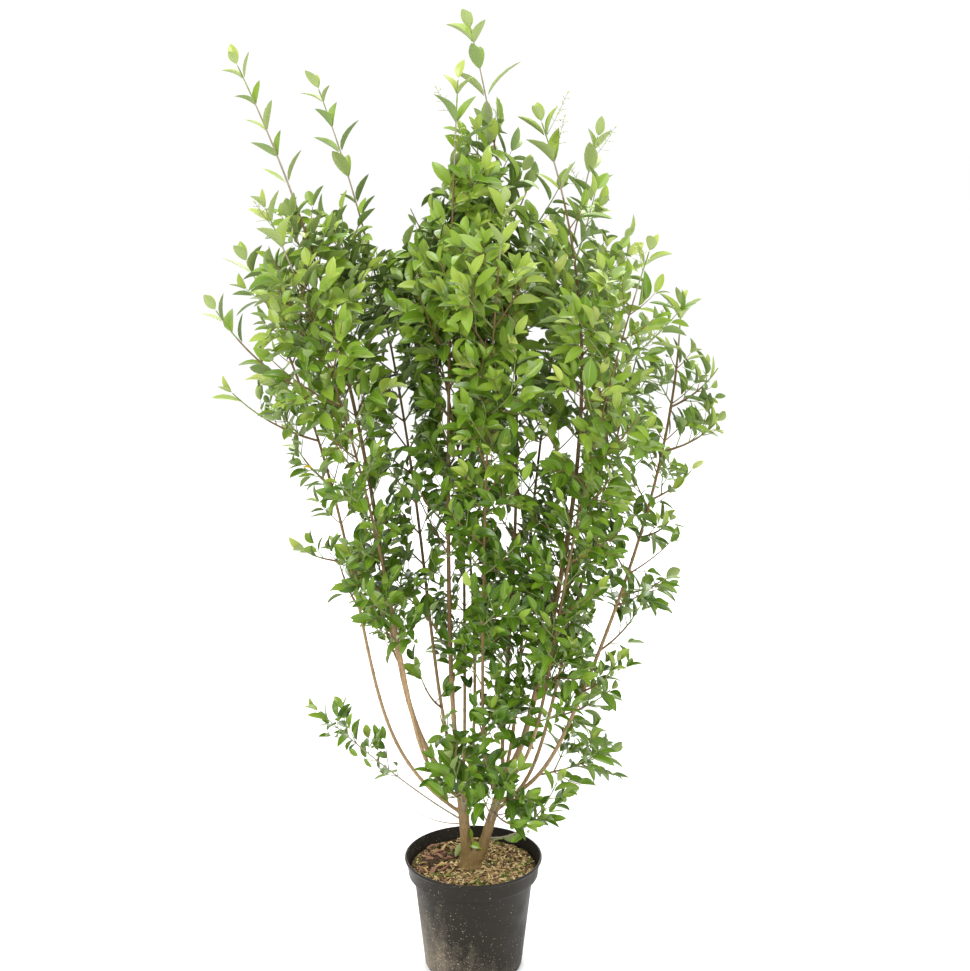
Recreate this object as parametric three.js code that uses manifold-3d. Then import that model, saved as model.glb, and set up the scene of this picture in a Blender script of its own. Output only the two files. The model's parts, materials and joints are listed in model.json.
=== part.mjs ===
// A potted California privet: a young shrub of many upright stems in a round black nursery pot.
// Millimetres, +Z up, +X to the right and +Y away from the viewer.
// The origin is the centre of the pot's flat underside.
import * as THREE from "three";
import { mergeVertices } from "three/addons/utils/BufferGeometryUtils.js";
import Module from "manifold-3d";

const wasm = await Module();
wasm.setup();

const CLEAR = 0.35; // gap between two solids that touch on the real plant
const FINEST = 0.24; // joined solids drop detail below this size
const UP = new THREE.Vector3(0, 0, 1);
const DEPTH = new THREE.Vector3(0, 1, 0);

// The pot: a tapered body, a step out to a collar, and a rounded lip.
const POT = {
  height: 192,
  lipRadius: 112.5,
  collarFoot: 161,
  collarRadius: 107,
  bodyTopRadius: 97,
  footRadius: 80,
  footBevel: 3,
  wall: 2.4,
  base: 4,
  sides: 24,
};
const DRAIN = { count: 6, radius: 6, distance: 76.5 };

// The soil fills the pot to a little below the lip, and is level where the trunk stands.
const SOIL = { level: 170, flatRadius: 32, edgeRise: 3, roughness: 2.6 };

// The trunk widens into its roots at the foot and into two main stems at the fork.
const TRUNK = {
  sections: [
    { z: 170.35, x: -5, y: 4, halfWidth: 19.5, halfDepth: 16 },
    { z: 175, x: -4.8, y: 4, halfWidth: 17.2, halfDepth: 13.5 },
    { z: 186, x: -2, y: 3.8, halfWidth: 18, halfDepth: 11.5 },
    { z: 198, x: 0, y: 3.5, halfWidth: 16.5, halfDepth: 8.5 },
  ],
  buttress: 0.07,
  sides: 14,
  forkTop: 212,
};

// The two main stems, each along a straight line from the trunk's heart.
const MAINS = {
  left: { foot: [-10, 4, 190], tip: [-20, 2, 312], footRadius: 9.6, tipRadius: 8.2 },
  right: { foot: [11.5, 3, 190], tip: [54, -3, 345], footRadius: 9.2, tipRadius: 6.2 },
};

// Each stem leaves its main stem at `root`, swings out over the height `elbow`, then leans by
// `lean` for each metre and drifts by `drift` in all towards its top. It is bare up to `enters`,
// carries twigs above, and ends in a leader that carries only pairs of leaves.
const STEMS = {
  far_left: {
    main: "left", root: 262, swing: [-127, 10], elbow: 85, lean: [-95, 10], drift: [-129, 10],
    top: 1190, radius: 3, enters: 985, leader: 60, twig: 75,
  },
  left_back: {
    main: "left", root: 283, swing: [22, 40], elbow: 60, lean: [0, 160], drift: [-135, 60],
    top: 1205, radius: 2.8, enters: 500, leader: 60, twig: 95,
  },
  left_front: {
    main: "left", root: 290, swing: [-60, -34], elbow: 55, lean: [-120, -120], drift: [-104, -20],
    top: 1285, radius: 3.2, enters: 560, leader: 110, twig: 115,
  },
  left_tall: {
    main: "left", root: 299, swing: [-85, -2], elbow: 90, lean: [-80, -25], drift: [-155, -10],
    top: 1480, radius: 4.4, enters: 700, leader: 340, twig: 120,
  },
  centre_back: {
    main: "left", root: 297, swing: [5, 28], elbow: 45, lean: [0, 90], drift: [-20, 20],
    top: 1340, radius: 2.8, enters: 480, leader: 90, twig: 115,
  },
  left_inner: {
    main: "left", root: 306, swing: [-34, 12], elbow: 120, lean: [-61, 70], drift: [-125, 15],
    top: 1445, radius: 3.0, enters: 570, leader: 290, twig: 115,
  },
  centre: {
    main: "left", root: 311, swing: [-20, -10], elbow: 150, lean: [0, -40], drift: [22, -5],
    top: 1460, radius: 4.2, enters: 500, leader: 150, twig: 120,
  },
  right_outer: {
    main: "right", root: 268, swing: [55, 14], elbow: 35, lean: [225, 60], drift: [3, 10],
    top: 1075, radius: 3.2, enters: 500, leader: 60, twig: 105,
  },
  far_right: {
    main: "right", root: 284, swing: [62, -8], elbow: 35, lean: [395, -15], drift: [-122, -5],
    top: 1130, radius: 3.4, enters: 985, leader: 70, twig: 60,
  },
  centre_front: {
    main: "right", root: 296, swing: [-26, -32], elbow: 50, lean: [0, -140], drift: [35, -30],
    top: 1295, radius: 2.8, enters: 400, leader: 90, twig: 115,
  },
  right_front: {
    main: "right", root: 314, swing: [44, -38], elbow: 55, lean: [130, -130], drift: [45, -30],
    top: 1230, radius: 3.0, enters: 430, leader: 80, twig: 100,
  },
  right_back: {
    main: "right", root: 322, swing: [18, 44], elbow: 55, lean: [60, 130], drift: [80, 40],
    top: 1370, radius: 3.0, enters: 450, leader: 230, twig: 100,
  },
  centre_right: {
    main: "right", root: 333, swing: [-8, 10], elbow: 25, lean: [71, 25], drift: [-139, 5],
    top: 1532, radius: 3.4, enters: 450, leader: 180, twig: 115,
  },
  right: {
    main: "right", root: 341, swing: [16, -8], elbow: 25, lean: [226, -35], drift: [-220, -10],
    top: 1400, radius: 5.2, enters: 580, leader: 130, twig: 125,
  },
};
const STEM_TIP_RADIUS = 1.7;
const BOUGH_EASE = 1.6; // a bough bends most near its root

// Side shoots that leave a bough: the height of the root, and the way to the tip of its last leaf.
const SIDE_SHOOTS = {
  far_left_a: { stem: "far_left", root: 608, to: [-52, 58, 112], twig: 50 },
  far_left_b: { stem: "far_left", root: 685, to: [-92, -40, 36], twig: 50 },
  far_left_c: { stem: "far_left", root: 810, to: [-82, 42, 87], twig: 60 },
  far_left_d: { stem: "far_left", root: 880, to: [-151, -38, 97], twig: 75 },
  far_left_e: { stem: "far_left", root: 962, to: [-152, 22, 138], twig: 0 },
  left_inner_a: { stem: "left_inner", root: 440, to: [-45, -60, 105], twig: 60 },
  centre_a: { stem: "centre", root: 392, to: [-30, -84, 92], twig: 60 },
  centre_right_a: { stem: "centre_right", root: 392, to: [24, -74, 112], twig: 60 },
  left_tall_a: { stem: "left_tall", root: 520, to: [-50, 90, 120], twig: 70 },
  left_tall_b: { stem: "left_tall", root: 640, to: [-70, -90, 120], twig: 75 },
  right_a: { stem: "right", root: 480, to: [60, -90, 110], twig: 75 },
  right_b: { stem: "right", root: 545, to: [50, 95, 130], twig: 75 },
  right_outer_a: { stem: "right_outer", root: 420, to: [125, -15, 68], twig: 60 },
  right_outer_b: { stem: "right_outer", root: 475, to: [50, 110, 110], twig: 70 },
  far_right_a: { stem: "far_right", root: 335, to: [142, 20, 42], twig: 80 },
  far_right_b: { stem: "far_right", root: 480, to: [68, -42, 82], twig: 50 },
  far_right_c: { stem: "far_right", root: 548, to: [86, 62, 74], twig: 55 },
  far_right_d: { stem: "far_right", root: 640, to: [98, 10, 36], twig: 50 },
  far_right_e: { stem: "far_right", root: 735, to: [60, -52, 52], twig: 55 },
  far_right_f: { stem: "far_right", root: 795, to: [90, 50, 52], twig: 60 },
  far_right_g: { stem: "far_right", root: 872, to: [99, -50, 70], twig: 65 },
  far_right_h: { stem: "far_right", root: 942, to: [95, 20, 76], twig: 0 },
};

// Low shoots that leave a main stem, with the point that each bends towards first.
const LOW_SHOOTS = {
  low_left: { main: "left", root: 250, bend: [-86, -20, 50], to: [-248, -42, 222], bare: 0.4, twig: 60 },
  low_centre: { main: "left", root: 262, bend: [2, -62, 50], to: [-22, -88, 150], bare: 0.3, twig: 70 },
  low_front: { main: "right", root: 250, bend: [2, -60, 40], to: [34, -104, 140], bare: 0.3, twig: 70 },
  low_right: { main: "right", root: 222, bend: [70, -34, 4], to: [130, -62, 138], bare: 0.3, twig: 50 },
};

// The rule of growth. Pairs of twigs stand along a shoot, each pair turned a quarter from the last.
const GROWTH = {
  pairGap: 144, // along a stem
  sidePairGap: 80, // along a side shoot
  leaderGap: 68, // along the leader
  spread: 0.86, // angle between a twig and its shoot
  leafSpread: 0.95, // angle between a leaf and its twig
  lift: 0.42, // how far a twig bends upwards
  twigRootRadius: 2.1,
  twigTipRadius: 1.1,
  // a twig without room is tried again shorter and turned aside
  tries: [
    { share: 1, turn: 0 },
    { share: 0.85, turn: 0.7 },
    { share: 0.7, turn: -0.7 },
    { share: 0.5, turn: 0.3 },
  ],
  leafTries: [1, 0.8],
};

// Leaves grow longer towards the top of the shrub. They are drawn larger than life.
const LEAF = {
  lowLength: 60,
  highLength: 96,
  highAt: 1300,
  widthShare: 0.5,
  thicknessShare: 0.03,
  foldShare: 0.07,
  widestAt: 0.46,
  leaderShare: 0.62,
  sideShare: 0.74,
};
const OWN_SPACE = 0.5; // a piece stays this share nearer to its own shoot than to any other

const LOOK = {
  pot: { color: 0x24262a, roughness: 0.55 },
  soil: { color: 0x6f5638, roughness: 1 },
  bark: { color: 0x9a7a55, roughness: 0.85 },
  stem: { color: 0x8a6547, roughness: 0.75 },
  low: { color: 0x3f7d22, roughness: 0.45 },
  high: { color: 0x7fb53a, roughness: 0.42 },
};

const vector = (list) => new THREE.Vector3(...list);
const mix = (a, b, share) => a + (b - a) * share;

// The same keys always give the same number from 0 to 1.
function chance(...keys) {
  let hash = 2166136261;
  for (const key of keys) {
    hash = Math.imul(hash ^ key, 16777619);
    hash ^= hash >>> 13;
    hash = Math.imul(hash, 1540483477);
  }
  hash ^= hash >>> 15;
  return (hash >>> 0) / 4294967296;
}

// A closed geometry as a solid, and a solid as a geometry.
function solidOf(geometry) {
  geometry.deleteAttribute("normal");
  geometry.deleteAttribute("uv");
  const merged = mergeVertices(geometry, 1e-3);
  const mesh = new wasm.Mesh({
    numProp: 3,
    vertProperties: Float32Array.from(merged.attributes.position.array),
    triVerts: Uint32Array.from(merged.index.array),
  });
  return new wasm.Manifold(mesh);
}

function geometryOf(solid) {
  const mesh = solid.getMesh();
  const geometry = new THREE.BufferGeometry();
  geometry.setAttribute("position", new THREE.BufferAttribute(mesh.vertProperties, 3));
  geometry.setIndex(new THREE.BufferAttribute(mesh.triVerts, 1));
  geometry.computeVertexNormals();
  return geometry;
}

// The one largest body of a cut or joined solid: loose scraps and sealed hollows go.
// It is looked for again once points that nearly meet are merged, as that can free a scrap.
function largestBody(solid) {
  const largest = (bodies) =>
    bodies.reduce((best, body) => (body.volume() > best.volume() ? body : best));
  const joined = largest(solid.asOriginal().simplify(FINEST).decompose());
  return largest(solidOf(geometryOf(joined)).decompose());
}

// A point of a stem at the height z.
function stemPoint(stem, z) {
  const foot = mainPoint(MAINS[stem.main], stem.root);
  const height = z - stem.root;
  const share = height / (stem.top - stem.root);
  const swung = 1 - Math.exp(-height / stem.elbow);
  const offset = (axis) =>
    stem.swing[axis] * swung + (stem.lean[axis] * height) / 1000 + stem.drift[axis] * share ** 3;
  return new THREE.Vector3(foot.x + offset(0), foot.y + offset(1), z);
}

function mainPoint(main, z) {
  const foot = vector(main.foot);
  const tip = vector(main.tip);
  return foot.lerp(tip, (z - main.foot[2]) / (main.tip[2] - main.foot[2]));
}

function stemRadius(stem, z) {
  return mix(stem.radius, STEM_TIP_RADIUS, (z - stem.root) / (stem.top - stem.root));
}

class StemCurve extends THREE.Curve {
  constructor(stem, from, to) {
    super();
    Object.assign(this, { stem, from, to });
  }
  getPoint(t, target = new THREE.Vector3()) {
    return target.copy(stemPoint(this.stem, mix(this.from, this.to, t)));
  }
}

// A point of a shoot, the way it runs there, and two directions square to that.
function frameAt(curve, t) {
  const point = curve.getPoint(t);
  const ahead = curve.getTangent(t).normalize();
  const across = new THREE.Vector3().crossVectors(ahead, DEPTH).normalize();
  const outward = new THREE.Vector3().crossVectors(across, ahead);
  return { point, ahead, across, outward };
}

// A tapering limb along a curve, with its rings closer together near its root where `ease` is over 1.
function limb(curve, rootRadius, tipRadius, sides, steps, ease = 1) {
  const geometry = new THREE.CylinderGeometry(1, 1, 1, sides, steps);
  const position = geometry.attributes.position;
  const frames = Array.from({ length: steps + 1 }, (_, i) => frameAt(curve, (i / steps) ** ease));
  for (let i = 0; i < position.count; i++) {
    const t = position.getY(i) + 0.5;
    const { point, across, outward } = frames[Math.round(t * steps)];
    const radius = mix(rootRadius, tipRadius, t ** ease);
    const place = point.clone();
    place.addScaledVector(across, position.getX(i) * radius);
    place.addScaledVector(outward, position.getZ(i) * radius);
    position.setXYZ(i, place.x, place.y, place.z);
  }
  return solidOf(geometry);
}

// A leaf: an eight-faced blade from its root to its tip, folded up a little along its midrib.
function leaf(root, along, facing, length) {
  const across = new THREE.Vector3().crossVectors(along, facing).normalize();
  const above = new THREE.Vector3().crossVectors(across, along);
  const geometry = new THREE.OctahedronGeometry(1);
  const position = geometry.attributes.position;
  for (let i = 0; i < position.count; i++) {
    const [x, y, z] = [position.getX(i), position.getY(i), position.getZ(i)];
    const forward = y > 0.5 ? 1 : y < -0.5 ? 0 : LEAF.widestAt;
    const rise = Math.abs(x) * LEAF.foldShare + (z * LEAF.thicknessShare) / 2;
    const place = root.clone();
    place.addScaledVector(along, forward * length);
    place.addScaledVector(across, (x * LEAF.widthShare * length) / 2);
    place.addScaledVector(above, rise * length);
    position.setXYZ(i, place.x, place.y, place.z);
  }
  return solidOf(geometry);
}

function leafLength(z, share = 1) {
  const height = THREE.MathUtils.clamp(z / LEAF.highAt, 0, 1);
  return mix(LEAF.lowLength, LEAF.highLength, height) * share;
}

// A twig that leaves its shoot sideways and bends upwards.
function twigCurve(frame, side, length) {
  const leaves = new THREE.Vector3()
    .addScaledVector(frame.ahead, Math.cos(GROWTH.spread))
    .addScaledVector(side, Math.sin(GROWTH.spread));
  const bend = frame.point.clone().addScaledVector(leaves, length * 0.5);
  const turned = leaves.clone().addScaledVector(UP, GROWTH.lift).normalize();
  return new THREE.QuadraticBezierCurve3(
    frame.point,
    bend,
    bend.clone().addScaledVector(turned, length * 0.5),
  );
}

// The direction of the k-th pair on a shoot, for one side of it.
function sideOf(frame, seed, k, hand, aside = 0) {
  const turn = (k * Math.PI) / 2 + chance(seed, k, 1) * 0.9 + seed + aside;
  return new THREE.Vector3()
    .addScaledVector(frame.across, Math.cos(turn) * hand)
    .addScaledVector(frame.outward, Math.sin(turn) * hand);
}

function leafAt(frame, side, spread, length, seed, k) {
  const along = new THREE.Vector3()
    .addScaledVector(frame.ahead, Math.cos(spread))
    .addScaledVector(side, Math.sin(spread))
    .addScaledVector(UP, -0.18)
    .normalize();
  const facing = new THREE.Vector3()
    .addScaledVector(frame.ahead, 0.5)
    .addScaledVector(UP, 0.8)
    .add(new THREE.Vector3(chance(seed, k, 5) - 0.5, chance(seed, k, 6) - 0.7, 0));
  const root = frame.point.clone().addScaledVector(along, -0.4);
  return { solid: leaf(root, along, facing, length), reach: reachOf(root, along, facing, length) };
}

// Points of a leaf that have to lie in its own space.
function reachOf(root, along, facing, length) {
  const across = new THREE.Vector3().crossVectors(along, facing).normalize();
  const middle = root.clone().addScaledVector(along, length * LEAF.widestAt);
  const half = (length * LEAF.widthShare) / 2;
  return [
    root.clone().addScaledVector(along, length),
    middle.clone().addScaledVector(across, half),
    middle.clone().addScaledVector(across, -half),
  ];
}

// How near a point lies to a shoot.
function distanceTo(shoot, point) {
  let nearest = Infinity;
  const closest = new THREE.Vector3();
  for (const line of shoot.lines) {
    line.closestPointToPoint(point, true, closest);
    nearest = Math.min(nearest, closest.distanceTo(point));
  }
  return nearest;
}

function inOwnSpace(points, shoot, shoots) {
  return points.every((point) => {
    const own = distanceTo(shoot, point) * OWN_SPACE;
    return shoots.every((other) => other === shoot || distanceTo(other, point) > own);
  });
}

function boxesMeet(a, b) {
  return [0, 1, 2].every((i) => a.min[i] < b.max[i] + 1 && b.min[i] < a.max[i] + 1);
}

// Whether a piece keeps clear of the limbs and of the foliage that has already grown.
function isClear(solid, obstacles) {
  const box = solid.boundingBox();
  return obstacles.every(
    (other) => !boxesMeet(box, other.box) || solid.minGap(other.solid, 1) > 0.3,
  );
}

function obstacle(solid) {
  return { solid, box: solid.boundingBox() };
}

// A growing mass: the wood and leaves that it has, and the test that each new piece has to pass.
class Mass {
  constructor(shoot, shoots, obstacles) {
    Object.assign(this, { shoot, shoots, obstacles, pieces: [obstacle(shoot.wood)] });
  }
  // `joined` are the pieces that the new one grows out of.
  hasRoomFor(piece, joined) {
    const { shoot, shoots, obstacles, pieces } = this;
    const others = pieces.filter((other) => !joined.includes(other));
    return (
      piece.reach.every((point) => shoot.holds(point)) &&
      inOwnSpace(piece.reach, shoot, shoots) &&
      isClear(piece.solid, obstacles) &&
      isClear(piece.solid, others)
    );
  }
  add(piece) {
    const added = obstacle(piece.solid);
    this.pieces.push(added);
    return added;
  }
}

// One leafy twig, or nothing where it has no room. `joined` are the pieces that its foot meets.
function growTwig(mass, frame, k, hand, joined) {
  const { shoot } = mass;
  for (const { share, turn } of GROWTH.tries) {
    const side = sideOf(frame, shoot.seed, k, hand, turn);
    const length = shoot.twig * share * (0.8 + 0.4 * chance(shoot.seed, k, hand + 2, 2));
    const curve = twigCurve(frame, side, length);
    const wood = limb(curve, GROWTH.twigRootRadius, GROWTH.twigTipRadius, 3, 1);
    const tip = curve.getPoint(1);
    if (tip.z < frame.point.z || !mass.hasRoomFor({ solid: wood, reach: [tip] }, joined)) continue;
    const leaves = twigLeaves(mass, curve, length, k * 8 + hand);
    if (leaves.length < 2) continue;
    joined.push(mass.add({ solid: wood }));
    leaves.forEach((piece) => mass.add(piece));
    return;
  }
}

// The last leaf of a twig, and the pairs below it.
function twigLeaves(mass, curve, length, k) {
  const { seed, leafShare } = mass.shoot;
  const end = frameAt(curve, 0.95);
  const size = leafLength(end.point.z, leafShare);
  const leaves = [fitLeaf(mass, end, sideOf(end, seed, k, 1), 0.2, size, k, [])];
  const pairs = length > 85 ? [0.4, 0.76] : [0.56];
  pairs.forEach((t, i) => {
    const frame = frameAt(curve, t);
    for (const hand of [1, -1]) {
      const side = sideOf(frame, seed, k + i, hand);
      const share = 0.8 + 0.25 * chance(seed, k, i, hand + 3);
      const key = k + 2 * i + hand;
      leaves.push(fitLeaf(mass, frame, side, GROWTH.leafSpread, size * share, key, []));
    }
  });
  return leaves.filter((piece) => piece);
}

// A leaf in the largest size that has room, or nothing.
function fitLeaf(mass, frame, side, spread, size, key, joined) {
  for (const share of GROWTH.leafTries) {
    const piece = leafAt(frame, side, spread, size * share, mass.shoot.seed, key);
    if (mass.hasRoomFor(piece, joined)) return piece;
  }
  return undefined;
}

// A mass of foliage: its shoot, the pairs of twigs along it, and the leaves of its leader.
function growMass(shoot, shoots, obstacles) {
  const mass = new Mass(shoot, shoots, obstacles);
  const stem = mass.pieces[0];
  const addPair = (frame, spread, k) => {
    const size = leafLength(frame.point.z, LEAF.leaderShare);
    const pair = [1, -1].map((hand) => {
      const side = sideOf(frame, shoot.seed, k, hand);
      return fitLeaf(mass, frame, side, spread, size, k * 4 + hand, [stem]);
    });
    pair.filter((piece) => piece).forEach((piece) => mass.add(piece));
  };
  const length = shoot.curve.getLength();
  let along = length * shoot.bare + shoot.pairGap * 0.3;
  for (let k = 0; along < length - 8; k++) {
    const frame = frameAt(shoot.curve, along / length);
    const onLeader = !shoot.twig || length - along < shoot.leader;
    if (onLeader) addPair(frame, 0.8, k);
    else {
      const joined = [stem];
      for (const hand of [1, -1]) growTwig(mass, frame, k, hand, joined);
    }
    along += onLeader ? GROWTH.leaderGap : shoot.pairGap;
  }
  const end = frameAt(shoot.curve, 0.99);
  addPair(end, 0.28, 50);
  return largestBody(wasm.Manifold.union(mass.pieces.map((piece) => piece.solid)));
}

// The pot's profile, outside from the foot to the lip and inside back down to the base.
function potProfile() {
  const { wall, base, height } = POT;
  const points = [
    [0, 0],
    [POT.footRadius - POT.footBevel, 0],
    [POT.footRadius, POT.footBevel],
    [POT.bodyTopRadius, POT.collarFoot - 4],
    [POT.collarRadius - 1, POT.collarFoot],
    [POT.collarRadius + 1.5, height - 7],
    [POT.lipRadius, height - 4],
    [POT.lipRadius - 0.5, height],
    [POT.lipRadius - 3.5, height],
    [POT.collarRadius - wall - 1.5, POT.collarFoot + 4],
    [POT.bodyTopRadius - wall, POT.collarFoot - 2],
    [POT.footRadius - wall + 0.5, base],
    [0, base],
  ];
  return points.map(([radius, z]) => new THREE.Vector2(radius, z));
}

function turned(profile, sides) {
  const geometry = new THREE.LatheGeometry(profile, sides);
  geometry.rotateX(Math.PI / 2);
  return geometry;
}

function upright(radius, height, x, y, z, sides) {
  const geometry = new THREE.CylinderGeometry(radius, radius, height, sides);
  geometry.rotateX(Math.PI / 2);
  geometry.translate(x, y, z);
  return solidOf(geometry);
}

// Notches round the foot let the water out.
function pot() {
  const holes = [];
  for (let i = 0; i < DRAIN.count; i++) {
    const angle = ((i + 0.5) / DRAIN.count) * 2 * Math.PI;
    const [x, y] = [Math.cos(angle) * DRAIN.distance, Math.sin(angle) * DRAIN.distance];
    holes.push(upright(DRAIN.radius, 12, x, y, 0, 6));
  }
  const body = solidOf(turned(potProfile(), POT.sides));
  return largestBody(body.subtract(wasm.Manifold.union(holes)));
}

// The soil: the inside of the pot, with a rough top that is level under the trunk.
function soil() {
  const inside = (radius) => radius - POT.wall - 0.8;
  const rings = [inside(POT.collarRadius) - 1.4, 84, 58, SOIL.flatRadius];
  const points = [
    [0, POT.base + CLEAR],
    [inside(POT.footRadius), POT.base + CLEAR],
    [inside(POT.bodyTopRadius) - 0.4, POT.collarFoot - 3],
    [inside(POT.collarRadius) - 1.8, POT.collarFoot + 6],
    ...rings.map((radius) => [radius, SOIL.level]),
    [0, SOIL.level],
  ];
  const profile = points.map(([radius, z]) => new THREE.Vector2(radius, z));
  const geometry = turned(profile, POT.sides);
  const position = geometry.attributes.position;
  for (let i = 0; i < position.count; i++) {
    const [x, y, z] = [position.getX(i), position.getY(i), position.getZ(i)];
    const radius = Math.hypot(x, y);
    if (z < SOIL.level - 0.1 || radius < SOIL.flatRadius + 1) continue;
    const share = (radius - SOIL.flatRadius) / (rings[0] - SOIL.flatRadius);
    const bumps = Math.sin(x * 0.19 + y * 0.07) + Math.cos(y * 0.23 - x * 0.05);
    position.setZ(i, z + SOIL.edgeRise * share + SOIL.roughness * bumps * share * 0.5);
  }
  return solidOf(geometry);
}

// The trunk: a short foot with buttresses, and the beginning of both main stems.
function trunk() {
  const { sections, sides, buttress } = TRUNK;
  const geometry = new THREE.CylinderGeometry(1, 1, 1, sides, sections.length - 1);
  const position = geometry.attributes.position;
  for (let i = 0; i < position.count; i++) {
    const level = Math.round((position.getY(i) + 0.5) * (sections.length - 1));
    const section = sections[level];
    const [x, z] = [position.getX(i), position.getZ(i)];
    const flare = 1 + buttress * Math.cos(3 * Math.atan2(z, x) + 0.6) * (level < 2 ? 1 : 0.3);
    position.setXYZ(
      i,
      section.x + x * section.halfWidth * flare,
      section.y - z * section.halfDepth * flare,
      section.z,
    );
  }
  const arms = Object.values(MAINS).map((main) =>
    mainLimb(main, main.foot[2], TRUNK.forkTop),
  );
  return largestBody(wasm.Manifold.union([solidOf(geometry), ...arms]));
}

// A length of a main stem between two heights.
function mainLimb(main, from, to, grown = 0) {
  const share = (z) => (z - main.foot[2]) / (main.tip[2] - main.foot[2]);
  const radius = (z) => mix(main.footRadius, main.tipRadius, share(z)) + grown;
  const curve = new THREE.LineCurve3(mainPoint(main, from), mainPoint(main, to));
  return limb(curve, radius(from), radius(to), 12, 3);
}

// A bough, cut clear of everything that it grows out of or beside.
function bough(stem, neighbours) {
  const curve = new StemCurve(stem, stem.root, stem.enters);
  const steps = Math.round((stem.enters - stem.root) / 85) + 2;
  const whole = (grown) =>
    limb(curve, stem.radius + grown, stemRadius(stem, stem.enters) + grown, 6, steps, BOUGH_EASE);
  const near = neighbours.filter((other) => boxesMeet(other.boundingBox(), whole(0).boundingBox()));
  const solid = largestBody(whole(0).subtract(wasm.Manifold.union(near)));
  return { solid, grown: whole(CLEAR + 0.1) };
}

// The shoots that carry the foliage, each with its curve and the wood along it.
function crownShoot(name, stem) {
  const curve = new StemCurve(stem, stem.enters + CLEAR, stem.top - leafLength(stem.top, 0.54));
  const wood = limb(curve, stemRadius(stem, stem.enters), STEM_TIP_RADIUS, 4, 7);
  return {
    name: "foliage_" + name, curve, wood,
    bare: 0, leader: stem.leader, twig: stem.twig, leafShare: 1, pairGap: GROWTH.pairGap,
    holds: (point) => point.z < stem.top,
  };
}

function arch(root, bend, to) {
  const lastLeaf = leafLength(root.z + to.z, LEAF.leaderShare) / to.length();
  const tip = root.clone().addScaledVector(to, 1 - lastLeaf);
  return new THREE.QuadraticBezierCurve3(root, root.clone().add(bend), tip);
}

function sideShoot(name, shoot, grownBoughs) {
  const root = stemPoint(STEMS[shoot.stem], shoot.root);
  const to = vector(shoot.to);
  const bend = new THREE.Vector3(to.x * 0.5, to.y * 0.5, to.z * 0.25);
  const curve = arch(root, bend, to);
  const wood = limb(curve, 2.1, 1.3, 3, 3).subtract(grownBoughs[shoot.stem]);
  return {
    name: "foliage_" + name, curve, wood: largestBody(wood),
    bare: 0.12, leader: 24, twig: shoot.twig, leafShare: LEAF.sideShare,
    pairGap: GROWTH.sidePairGap,
    holds: (point) => point.distanceTo(root) < to.length() + 4,
  };
}

function lowShoot(name, shoot) {
  const main = MAINS[shoot.main];
  const root = mainPoint(main, shoot.root);
  const curve = arch(root, vector(shoot.bend), vector(shoot.to));
  const cutter = mainLimb(main, TRUNK.forkTop - 4, main.tip[2], CLEAR + 0.1);
  const wood = limb(curve, 2.2, 1.3, 4, 6).subtract(cutter);
  const reach = vector(shoot.to).length() + 4;
  return {
    name: "foliage_" + name, curve, wood: largestBody(wood),
    bare: shoot.bare, leader: 24, twig: shoot.twig, leafShare: LEAF.sideShare,
    pairGap: GROWTH.sidePairGap,
    holds: (point) => point.distanceTo(root) < reach,
  };
}

const group = new THREE.Group();
function place(name, solid, look) {
  const material = new THREE.MeshStandardMaterial({ ...look, metalness: 0, flatShading: true });
  const mesh = new THREE.Mesh(geometryOf(solid), material);
  mesh.name = name;
  group.add(mesh);
  return obstacle(solid);
}

const limbs = [
  place("pot", pot(), LOOK.pot),
  place("soil", soil(), LOOK.soil),
  place("trunk", trunk(), LOOK.bark),
];
const cutters = [];
for (const [name, main] of Object.entries(MAINS)) {
  const solid = mainLimb(main, TRUNK.forkTop + CLEAR, main.tip[2]);
  limbs.push(place("main_stem_" + name, solid, LOOK.bark));
  cutters.push(mainLimb(main, TRUNK.forkTop, main.tip[2] + CLEAR, CLEAR + 0.1));
}
const grownBoughs = {};
for (const [name, stem] of Object.entries(STEMS)) {
  const { solid, grown } = bough(stem, cutters);
  limbs.push(place("stem_" + name, solid, LOOK.stem));
  cutters.push(grown);
  grownBoughs[name] = grown;
}

const shoots = [
  ...Object.entries(STEMS).map(([name, stem]) => crownShoot(name, stem)),
  ...Object.entries(SIDE_SHOOTS).map(([name, shoot]) => sideShoot(name, shoot, grownBoughs)),
  ...Object.entries(LOW_SHOOTS).map(([name, shoot]) => lowShoot(name, shoot)),
];
shoots.forEach((shoot, i) => {
  shoot.seed = i + 1;
  const points = shoot.curve.getPoints(10);
  shoot.lines = points.slice(1).map((point, j) => new THREE.Line3(points[j], point));
});

const grown = [...limbs, ...shoots.map((shoot) => obstacle(shoot.wood))];
shoots.forEach((shoot, i) => {
  const others = grown.filter((_, j) => j !== limbs.length + i);
  const mass = growMass(shoot, shoots, others);
  const height = shoot.curve.getPoint(0.5).z;
  const look = height > 850 ? LOOK.high : LOOK.low;
  grown[limbs.length + i] = place(shoot.name, mass, look);
});

export default group;
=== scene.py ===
"""The looks of the potted privet: pot, mulch, bark, shoots, twigs, leaves and sprays of buds.

The plant's own sizes are in millimetres and turn into metres where a mesh is made.
The origin is the middle of the pot's underside, +Z up, +X to the right, +Y away from the viewer.
"""

import json
import math
from bisect import bisect_left, bisect_right
from collections import namedtuple
from itertools import product

import bpy
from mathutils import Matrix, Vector, noise

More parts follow.
